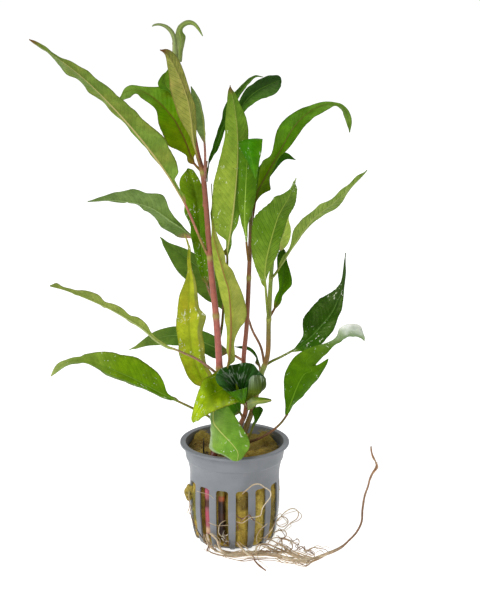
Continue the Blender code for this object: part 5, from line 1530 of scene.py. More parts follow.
def build_sheet(name, row, shown, looks, drop_glints):
    """A thin curved blade through rows of control points that the photograph shows."""
    down, over = SHEET_ROWS, SHEET_COLUMNS
    turned = row["turned"]
    drawn = []
    for line in row["rows"]:
        points = [seen(*p) for p in (reversed(line) if turned else line)]
        path = smooth_path(points, over)
        if row["centred"]:
            fine = smooth_path(points, 4 * over)
            nearest = min(range(len(fine)), key=lambda i: (fine[i] - points[len(points) // 2]).length)
            left, right = fine[:max(nearest, 1) + 1], fine[nearest:]
            half = over // 2
            path = ([along(left, i / half) for i in range(half)]
                    + [along(right, i / (over - 1 - half)) for i in range(over - half)])
        drawn.append(path)
    grid = list(zip(*[spline(list(column), down) for column in zip(*drawn)]))
    under, upper = [[[linear(c) for c in line] for line in row[side]] for side in ("under", "upper")]
    rib = int(row["rib"] * (over - 1))
    seed = seed_of(name)
    plus, minus, plus_tints, minus_tints, places, ways = [], [], [], [], [], []
    travelled = 0.0
    for i in range(down):
        if i:
            travelled += (grid[i][rib] - grid[i - 1][rib]).length
        reach = [0.0]
        for a, b in zip(grid[i], grid[i][1:]):
            reach.append(reach[-1] + (b - a).length)
        for k in range(over):
            across = grid[i][min(k + 1, over - 1)] - grid[i][max(k - 1, 0)]
            onward = grid[min(i + 1, down - 1)][k] - grid[max(i - 1, 0)][k]
            normal = across.cross(onward)
            normal = normal.normalized() if normal.length > 1e-6 else Vector((0, -1, 0))
            x = reach[k] - reach[rib]
            a = abs(k - rib) / max(rib if k < rib else over - 1 - rib, 1)
            if row["polar"]:
                x, y = i / (down - 1) * row["polar"], reach[k]
                out = k / (over - 1)
                ripple = row["ripple"] * noise.noise(Vector((x * 0.55, 0.0, seed))) * out ** 1.5
            else:
                y, out = travelled, a
                ripple = row["ripple"] * noise.noise(Vector((x * 0.18, y * 0.3, seed))) * a
            place = grid[i][k] + normal * ripple
            half = LEAF_THICKNESS / 2 * (1 - 0.5 * out * out)
            plus.append(place + normal * half)
            minus.append(place - normal * half)
            across_share = 1 - k / (over - 1) if turned else k / (over - 1)
            for tints, colours in ((plus_tints, under), (minus_tints, upper)):
                tints.append(tint_along([tint_along(line, across_share) for line in colours], i / (down - 1)))
            places.append((x, y, out))
            ways.append(normal)
    front, behind, rim = thin_body(down, over, True)
    mesh = Mesh()
    mesh.points, mesh.colours, mesh.places = plus + minus, plus_tints + minus_tints, places + places
    mesh.faces = front + behind + rim
    mesh.slots = [1] * len(front) + [0] * (len(behind) + len(rim))
    stalk = linear(shown["stalk"])
    path = smooth_path(row["stalk"], STALK_RINGS)
    sizes = [PETIOLE_RADIUS * (1.15 - 0.3 * i / (STALK_RINGS - 1)) for i in range(STALK_RINGS)]
    points, faces = tube_rings(path, sizes, 10)
    mesh.add(points, faces, [stalk] * len(points), [(0.0, -3.0, 0.0)] * len(points))
    if shown["drops"]:
        surface = [(p, w) if shown["side"] == "under" else (q, -w) for p, q, w, place
                   in zip(plus, minus, ways, places) if 0.08 < place[2] < 0.95]
        add_drops(mesh, surface, shown["drops"], int(seed * 100))
        looks = looks + [drop_glints]
    return mesh.build(name + "_blade", looks)


def sheet_row(stalk, ripple, rows, under, upper, rib=0.5, polar=None, turned=False, centred=False):
    """A blade that folds over or curls. rows are lines of control points across it, each from the side that
    is left or uppermost in the photograph, as pixel and distance behind the pot's axis. under and upper are
    small tables of the two sides' colours. rib is where the midrib lies across a line, and centred keeps it
    on each line's middle point. turned is a blade that shows its upper side though its lines run upwards.
    polar is the girth of a cupped blade, whose lines run from its neck to its margin."""
    return dict(stalk=stalk, ripple=ripple, rows=rows, under=under, upper=upper, rib=rib, polar=polar,
                turned=turned, centred=centred)


SHEETS = {
    "pink_tip_left": sheet_row(
        stalk=[(-28.5, 6, 247), (-28.8, 6, 249), (-29.2, 5.9, 251), (-29.4, 5.6, 252.4)],
        ripple=0.1,
        rows=[[(172.6, 63, 5), (174.8, 63, 4.2), (177, 63, 5)],
              [(172.4, 50, 4.6), (174.8, 50, 3.8), (177.4, 50, 4.6)],
              [(172.2, 40, 4.4), (174.4, 40, 3.6), (176.6, 39, 4.4)],
              [(169.6, 33, 4), (171.6, 32, 3.4), (173.6, 31, 4)],
              [(165, 28, 3), (166.2, 26.6, 2.6), (167.2, 25.2, 3)],
              [(159.6, 25.8, 1.6), (159.8, 24.4, 1.4), (160, 23.2, 1.6)],
              [(155, 25.8, 0.6), (154.8, 24.8, 0.5), (154.6, 23.8, 0.6)],
              [(152.2, 26.8, 0), (152.1, 26.2, 0), (152, 25.6, 0)]],
        under=[["#8a9462"], ["#8f9a68", "#97a070", "#8a9664"], ["#87935f"], ["#7f8c58"], ["#74814c"]],
        upper=[["#6f8a40"], ["#6a8638"]]),
    "pink_tip_right": sheet_row(
        stalk=[(-28.3, 6, 247), (-28.0, 6, 248), (-27.8, 6, 249.2), (-27.6, 5.8, 250.4)],
        ripple=0.15,
        rows=[[(177, 62, 5.4), (179.4, 62, 4.8), (181.8, 62, 5.6)],
              [(177, 52, 5), (180, 51.4, 4.2), (182.9, 51, 5)],
              [(176.4, 44.6, 4.6), (180.6, 44, 3.8), (184.6, 43.2, 4.6)],
              [(175.4, 38.4, 4.4), (180.4, 37, 3.4), (185.6, 36.4, 4.6)],
              [(176, 31.4, 4), (179.2, 31.4, 3), (182.8, 31.8, 3.8)],
              [(179, 24.8, 3.6), (181.2, 26.4, 2.6), (183.4, 28.2, 3.4)],
              [(186.4, 20.2, 3), (187, 22.6, 2.2), (187.8, 25.2, 2.8)],
              [(193.6, 21.2, 2), (193.4, 23.4, 1.4), (193, 25.6, 1.8)],
              [(199.2, 27, 0.6), (198.2, 28.4, 0.2), (197.4, 29.6, 0.6)],
              [(203.2, 36, -1), (202.8, 36.2, -1), (202.4, 36.4, -1)]],
        under=[["#7f8c54"], ["#84925a", "#8f9c66", "#7a8a44"], ["#86945c", "#7c8c4c", "#668224"],
               ["#84925a", "#84925a", "#7a8c4c"], ["#7c8c50"], ["#6a7f3c"]],
        upper=[["#5c7f2c"]]),
    "pink_leaf_dark_back": sheet_row(
        stalk=[(-15, 4, 172), (-14.6, 6.5, 180), (-14.2, 8.5, 187), (-13.6, 10, 193.6)],
        ripple=0.5, turned=True,
        rows=[[(206.6, 182, 9), (207.1, 182, 9), (207.6, 182, 9)],
              [(206.8, 171, 10), (207.4, 171, 10.4), (208, 171, 10)],
              [(208.8, 160, 11), (210, 160.6, 11.6), (211.4, 159.4, 11)],
              [(211.8, 150, 12), (214.4, 151, 13), (217.4, 150.8, 12)],
              [(214.8, 140, 12.6), (218, 141, 13.6), (221.4, 140.6, 12.6)],
              [(217.8, 130, 13), (221.2, 131, 14), (225, 130, 13)],
              [(221.4, 120.4, 13.4), (225, 121, 14.4), (229, 120.6, 13.4)],
              [(223, 111, 13.6), (228, 112, 14.6), (233, 111.4, 13.6)],
              [(226, 103, 13.8), (231, 104.4, 14.8), (236.2, 101.6, 13.8)],
              [(231, 96, 14), (235.4, 97.6, 15), (239.6, 96, 14)],
              [(238, 88.4, 14), (241, 90.6, 14.8), (243.6, 90.6, 14)],
              [(247.6, 79.4, 14), (248.6, 81.6, 14.6), (249, 83.4, 14)],
              [(255, 75.4, 14), (255.4, 76.4, 14.4), (255.8, 77.4, 14)],
              [(263, 76.6, 14), (263.2, 77, 14), (263.4, 77.4, 14)]],
        under=[["#5a7c34"]],
        upper=[["#346404"], ["#346604", "#3c740c", "#346608"], ["#335c08", "#3c6a14", "#335c0c"],
               ["#3c6818", "#4a7424", "#3c6414"], ["#5c7c34", "#4f7424", "#4c7024"], ["#5a7a34"]]),
    "brown_leaf_back": sheet_row(
        stalk=[(7.5, 3, 172), (6, 4.6, 178), (4.2, 6.4, 184), (3.0, 8, 190)],
        ripple=0.9, turned=True,
        rows=[[(238, 146, 8), (239, 146, 8), (240, 146, 8)], [(236.6, 128, 9), (239, 127.6, 10.4), (241.6, 127, 9)],
              [(236.6, 112, 10), (240.4, 113, 12), (244, 113.6, 10.4)],
              [(238.8, 100.4, 10.6), (244, 104, 13), (249.6, 106.8, 11)],
              [(244, 91.6, 11), (250.6, 97, 13.6), (257, 101, 11.4)],
              [(252, 84, 11.4), (258.4, 90, 14), (265, 97.8, 11.6)],
              [(261, 78.6, 11.6), (266.6, 84.6, 14), (272, 95.6, 11.6)],
              [(269.6, 75.3, 11.6), (273.4, 81.4, 13.6), (277.4, 92, 11.4)],
              [(277, 75.2, 11.4), (279, 80.4, 13), (280.8, 87.2, 11)],
              [(280.6, 77.6, 11), (281.4, 81, 11.8), (281.2, 84.6, 11)]],
        under=[["#5a7c34"]],
        # upper side: darker towards the blade's upper edge as painted shade, lighter towards its lower edge
        upper=[["#3c6418"], ["#3c6418", "#3c6418", "#47701c"], ["#33581c", "#2f5418", "#4f7a24"],
               ["#2c4c1c", "#2a4818", "#47702a"], ["#2c4a20", "#284418", "#3c6224"],
               ["#34502c", "#2a441c", "#345424"]]),
    "brown_leaf_bent_over": sheet_row(
        stalk=[(6.9, 0, 146), (6.5, -2.6, 149.6), (6.1, -4.2, 153), (5.8, -4.7, 156.4)],
        ripple=0.6, rib=0.42,
        rows=[[(245.6, 243, -4.5), (246.4, 243, -4.7), (247.2, 243, -4.5)],
              [(244.8, 235, -5.5), (246.4, 234.5, -6), (247.6, 234, -5.5)],
              [(241.6, 223.5, -6.5), (247.2, 223, -7.8), (248.9, 222, -7)],
              [(239, 211.5, -8), (248.4, 211, -9.6), (252.8, 210, -8.4)],
              [(238.2, 198, -9.5), (248.6, 198, -11), (255.6, 197, -10)],
              [(238.5, 182, -11), (247.8, 182, -12.4), (257, 183, -11)],
              [(238.7, 168, -12), (246.4, 169, -13.6), (258.6, 168, -12.2)],
              [(238.8, 154, -13.5), (247.2, 154.5, -15), (260.6, 154, -14)],
              [(238.6, 145, -15.5), (249, 143.5, -17), (262, 142.4, -16)],
              [(238.6, 142, -17.5), (250.4, 139, -19), (262.7, 139, -18)],
              [(239.4, 145, -19.5), (251, 142.6, -21.5), (262.3, 143, -20)],
              [(243.4, 154.4, -20.5), (252.4, 153, -22.5), (261.4, 152.4, -21)],
              [(249.2, 163.6, -21), (254, 163.4, -22.6), (259.3, 162.4, -21.5)],
              [(252.6, 171.8, -21), (255.2, 172, -22), (257.3, 171.2, -21.4)],
              [(255.2, 178, -20.8), (255.6, 178.8, -21), (256, 178, -20.8)]],
        under=[["#5e7818"], ["#5c7c18", "#648620", "#54780e"], ["#527a10", "#4c760a", "#446e06"],
               ["#467204", "#3f6a04", "#386200"], ["#3c7404"], ["#3c7404"], ["#3c7404"]],
        upper=[["#3a6c04"], ["#3a6c04"], ["#3f7000"], ["#6c8410"], ["#3a7000", "#357800", "#4a8404"],
               ["#2f6c00", "#387a00", "#4c8804"], ["#3f7804", "#4a8404", "#5c9008"]]),
    "brown_leaf_lime": sheet_row(
        stalk=[(5.6, -2, 70), (5.0, -6, 73), (4.2, -10, 75), (3.2, -13.4, 76.4)],
        ripple=0.7,
        rows=[[(243.2, 398.4, -13.5), (243.8, 399.8, -14), (243.2, 401.6, -13.5)],
              [(233.5, 378, -9.5), (235, 386, -11.5), (236, 392.5, -13.6), (237, 398, -15), (237.8, 402.4, -15)],
              [(222, 369.4, -11), (224.4, 379, -13.6), (226.5, 389.6, -16.4), (228.7, 399, -19),
              (230.8, 405, -18.4)],
              [(211, 375, -16), (214.2, 384, -18), (217, 394.2, -20.6), (219.4, 401.6, -23), (221.2, 408, -22)],
              [(203, 379.8, -21.5), (206, 387.8, -23.8), (208.6, 396.5, -25.8), (210.6, 405, -26.4),
              (212, 412, -25.2)], [(199, 389.5, -24.4), (200.7, 396, -26.2), (202.3, 403, -27.6), (203.7, 410, -28),
              (204.6, 416, -27.2)], [(194.6, 403, -27.2), (195.7, 407.5, -28), (196.8, 412, -28.8),
              (197.8, 416.5, -29), (198.8, 420, -28.4)], [(191.3, 417.5, -29), (191.4, 419.2, -29.2),
              (191.8, 421, -29.4), (192.8, 422.6, -29.4), (194, 423, -29)]],
        under=[["#7a9430"], ["#8aa43c"], ["#94ac44"]],
        # upper side: the darker base and middle column are painted shadow of the cup above it
        upper=[["#466c06", "#567e06", "#6c9408"], ["#5c8408", "#4a7404", "#98b41c"],
               ["#7aa00a", "#4f7c04", "#aac41e"], ["#8fae10", "#7f9e08", "#a8c21c"],
               ["#98b60c", "#a4c20c", "#a4c21c"], ["#b0c428", "#bad02e", "#a8c422"]]),
    "brown_leaf_cup": sheet_row(
        stalk=[(5.6, -2, 73), (5.6, -5, 74.4), (5.2, -9, 76), (4.8, -12.5, 77)],
        ripple=1.1, polar=46.0,
        rows=[[(244.6, 403, -15), (246, 397.6, -19), (247, 392, -21), (247.4, 387, -21.6)],
              [(243.6, 403.5, -16), (242, 398.2, -20.6), (240, 393.8, -22.6), (239.2, 389.8, -23)],
              [(242, 403.4, -16.4), (238, 399.2, -21.4), (233.2, 395.6, -24), (229.6, 391.6, -24.6)],
              [(241, 403, -16), (234, 397, -21), (226.6, 390.4, -24.4), (221.8, 387.4, -25)],
              [(240.8, 402, -15), (232, 393, -19.6), (223.4, 385, -23), (217.2, 382.8, -24)],
              [(240.8, 401.5, -13.6), (232, 390, -17), (223, 380, -19.6), (215.4, 377.8, -21)],
              [(241, 401, -12.4), (233.5, 386.5, -13.4), (226, 376, -14), (219.6, 369.6, -15)],
              [(241.5, 401, -11), (237, 384.5, -10), (233.5, 373.5, -9), (230.6, 365.2, -9)],
              [(242, 401, -10.8), (240.5, 383.5, -9.6), (242, 372.5, -8.2), (243.6, 362.8, -7.6)],
              [(242.6, 401, -10.8), (244.2, 384.5, -10), (248.5, 373.5, -8.6), (252.4, 363.8, -8.2)],
              [(243.2, 401.3, -11), (247, 386.5, -11), (252.5, 377, -10.6), (258, 369.8, -10.6)],
              [(243.8, 401.8, -11.6), (251, 391.5, -13), (260, 382.5, -14.6), (264.6, 376.8, -15)],
              [(244.4, 402.3, -12.2), (253.5, 395, -16.4), (264.8, 387.4, -19), (265.6, 378.6, -17.8)],
              [(244.8, 402.8, -13), (252.6, 396.6, -18.4), (260.6, 391.6, -22.8), (259.8, 375.4, -19.2)],
              [(245, 403, -13.4), (249.8, 396.4, -19), (252.6, 391.4, -23.4), (252.6, 375.6, -19.8)],
              [(245, 403, -13.4), (247.6, 395, -18.6), (248.4, 389, -21.4), (249, 379.4, -18.8)]],
        # the outside's colours towards the margin turn grey to silver: a painted highlight on the hump's rim over
        # its olive colour
        under=[["#64980c", "#4f8804", "#447a02", "#3f7002"]] * 5 + [["#5c8a3c"]] * 6 +
               [["#4a5a06", "#4a5a06", "#435408", "#48591c"], ["#4a5a04", "#4a5a06", "#44540a", "#4c5e24"],
               ["#4a5a04", "#4a5a06", "#46580c", "#5a6e3e"], ["#4c5c06", "#4e6008", "#4e6014", "#7c9072"],
               ["#4f6008", "#53650c", "#5a6e28", "#94a68e"]],
        # the inside: dark green, darkening to near-black towards the neck as painted shade of the hollow
        upper=[["#143404", "#163c04", "#1c4a08", "#245610"]] * 4 + [["#143404", "#225010", "#305e20", "#3a6a30"],
               ["#143404", "#225210", "#2c5c1a", "#34642a"], ["#102c04", "#1a4808", "#225610", "#2c601c"],
               ["#0c2404", "#143c04", "#1c4e08", "#265a12"], ["#0a2002", "#103604", "#1a4a08", "#265812"],
               ["#0a2002", "#143c08", "#245010", "#2f5c20"], ["#0c2404", "#184410", "#28561c", "#34602c"]] +
               [["#1c4414"]] * 5),
    "brown_leaf_over_rim": sheet_row(
        stalk=[(2.5, -4, 61), (0, -8, 66), (-4, -12, 70), (-8, -16, 71.4), (-11, -18.8, 70.6)],
        ripple=0.8, centred=True,
        rows=[[(213, 401, -18.4), (216, 400, -18.6), (219.6, 398.6, -18)],
              [(209.6, 408, -19), (214, 405.4, -19.6), (223.6, 400.6, -18.2)],
              [(210.6, 420, -21), (213.4, 421.4, -22.6), (229, 407, -20)],
              [(210.6, 430, -22.6), (218.5, 429.5, -24.6), (235.4, 416.4, -22.4)],
              [(210, 440.6, -24.2), (225, 436.7, -26.6), (241.4, 426.4, -24.6)],
              [(209.4, 447.4, -25.2), (231, 442.7, -28.2), (247.2, 435.6, -27)],
              [(213.6, 451.8, -26.6), (235.2, 448, -29.6), (249.8, 443.2, -28.6)],
              [(221.6, 454.4, -28), (237.6, 451.6, -30.2), (248.6, 449.4, -29.6)],
              [(227.6, 458, -29.6), (238.2, 456.4, -31), (245, 454.2, -30.4)],
              [(232.4, 460.6, -31), (237, 461.2, -31.6), (241.4, 459.2, -31.2)]],
        under=[["#8aa45c"]],
        upper=[["#7f9e6c", "#729248", "#54801c"], ["#86a474", "#80a05c", "#56821c"],
               ["#8aa86c", "#7a9c44", "#5c8824"], ["#88a858", "#709c34", "#628e2c"],
               ["#80a440", "#6a9a2e", "#6c9830"], ["#74a032", "#629426", "#6f9a32"],
               ["#70962e", "#669426", "#749a32"], ["#729238", "#668e2a", "#74943a"]]),
    "olive_leaf_low_right": sheet_row(
        stalk=[(3.8, -5, 52), (8, -7.5, 54), (13, -9, 56.6), (18, -10, 60), (23, -11, 65), (26.4, -11.6, 70.2)],
        ripple=0.8, turned=True,
        rows=[[(285.6, 415, -11.6), (286.3, 414.6, -12), (287, 414.4, -11.6)],
              [(285, 403, -12), (290.6, 403.4, -13.4), (296.4, 402.6, -12)],
              [(284, 390, -12.4), (297, 391.6, -14.4), (305.6, 393, -12.6)],
              [(284.2, 376.4, -12.6), (303.6, 381, -15), (316, 380.6, -13)],
              [(287.4, 367.6, -12.8), (308, 374.4, -15), (322.4, 372, -13)], [(291, 361.4, -13),
              (304, 367.6, -14.6), (315, 370.8, -14.6), (322, 367.4, -14), (328.8, 358.8, -13.6)],
              [(295.6, 355.8, -13.2), (304.6, 361, -14.6), (311, 364.8, -14.6), (314.8, 366.4, -14.2),
              (316.4, 365.6, -14)],
              [(303.6, 350.4, -13.4), (310.4, 354.4, -14.4), (315.4, 357.6, -14.4), (319.4, 360.6, -14)],
              [(313.8, 346.2, -13.6), (319, 349, -14.4), (323, 351.6, -14.4), (326.6, 353.8, -14)],
              [(325.8, 343, -14), (329.4, 344.6, -14.6), (334.2, 346, -14.2)],
              [(335.4, 337.6, -14.4), (338.4, 340, -15), (342, 341, -14.4)],
              [(339.8, 328.6, -15), (341.8, 334, -16.6), (344, 337.4, -16), (346, 338.6, -14.8)],
              [(347.2, 324.3, -15.4), (348.8, 330.4, -17.2), (350, 334.4, -16.4), (351, 336.2, -15)],
              [(356, 324.1, -15.6), (357, 330.4, -17), (357.4, 334.6, -16.2), (357.6, 337, -15)],
              [(361.2, 327.4, -15.6), (361.8, 332.6, -16.4), (362, 336.4, -15.8), (361.8, 338.6, -15)],
              [(364, 336.4, -15.4), (364.6, 338.4, -15.6), (364.8, 340, -15.4), (364.6, 341, -15.2)]],
        # the near-white colours towards the curled tip, on both sides, are its pale underside brightened by a
        # painted silvery sheen
        under=[["#7a9a3c"], ["#86a44c"], ["#c4cfb4"]],
        upper=[["#3f6a00", "#3c6600", "#406c00"], ["#3f6a00", "#3a6400", "#447000"],
               ["#446e00", "#3f6a00", "#487404"], ["#4f7604", "#466e04", "#4a7404"],
               ["#4f7208", "#4f7410", "#4c700c"], ["#4f7020", "#5c7c24", "#486c10"],
               ["#9aac8a", "#8a9e70", "#4f7a24"], ["#f0f4f0", "#dce4da", "#547838"],
               ["#f6f8f6", "#d4dcd2", "#647f48"], ["#c8d2c0", "#94a680", "#5f7a3c"]]),
    "olive_leaf_small": sheet_row(
        stalk=[(8.5, -3, 69), (8.6, -6, 71.4), (8.4, -9.4, 73.6), (8.0, -12.8, 75.4)],
        ripple=0.4,
        rows=[[(247.4, 395.8, -13.6), (247.2, 400.5, -14.2), (247.8, 410.6, -12.4)],
              [(250.4, 395.6, -15), (251, 401, -15.6), (252.4, 408.6, -13.8)],
              [(254, 397, -15.4), (255.4, 401, -16), (257, 405, -14.4)],
              [(259, 397.2, -15), (260.6, 400.6, -15.6), (262, 403.8, -14.4)],
              [(265.6, 397.8, -14), (266.2, 400.2, -14.6), (266.8, 402.8, -14)],
              [(270.8, 399, -13.4), (271.6, 400.4, -13.6), (271, 401.6, -13.4)]],
        under=[["#8fa068", "#93a46c", "#84984e"], ["#8fa068", "#96a672", "#7f944a"],
               ["#7c9c28", "#94a466", "#86985a"], ["#6c9810", "#86a02c", "#8a9c58"],
               ["#6a9410", "#7c8f3c", "#93a068"], ["#3a4418", "#2f3a14", "#444a20"]],
        upper=[["#4f8014"], ["#5a8a18"], ["#4f7c14"]]),
}


# Roots

CREAM, TAN, BROWN, RUST = "#cfbd9e", "#ab9270", "#825f40", "#643f2a"
PALE, LIGHT, WORN = (CREAM, CREAM, TAN), (CREAM, TAN, CREAM), (TAN, CREAM, BROWN)

# The height that no strand goes below, the distance between a strand's rings, and the radius that a thin
# strand stays under (mm). The radii below are made slimmer by a factor, and those of the bundle by more.
LEAST_HEIGHT = 0.05
RING_SPACING = 0.7
THIN_ROOT = 0.4
SLIMMER, BUNDLE_SLIMMER = 0.88, 0.72
# Finer roots: how many wander beside each strand, their radii (mm), how far off they lie across and down
# (pixels), and how much they waver across and down (pixels) and in depth (mm).
COMPANIONS = {"root_bundle": 2, "root_side_loops": 1, "root_front": 1}
FINER_RADII = (0.18, 0.32)
OFF_ACROSS, OFF_DOWN = (-3.2, 3.2), (-2.6, 2.0)
WAVER_ACROSS, WAVER_DOWN, WAVER_DEPTH = 1.3, 1.1, 1.2

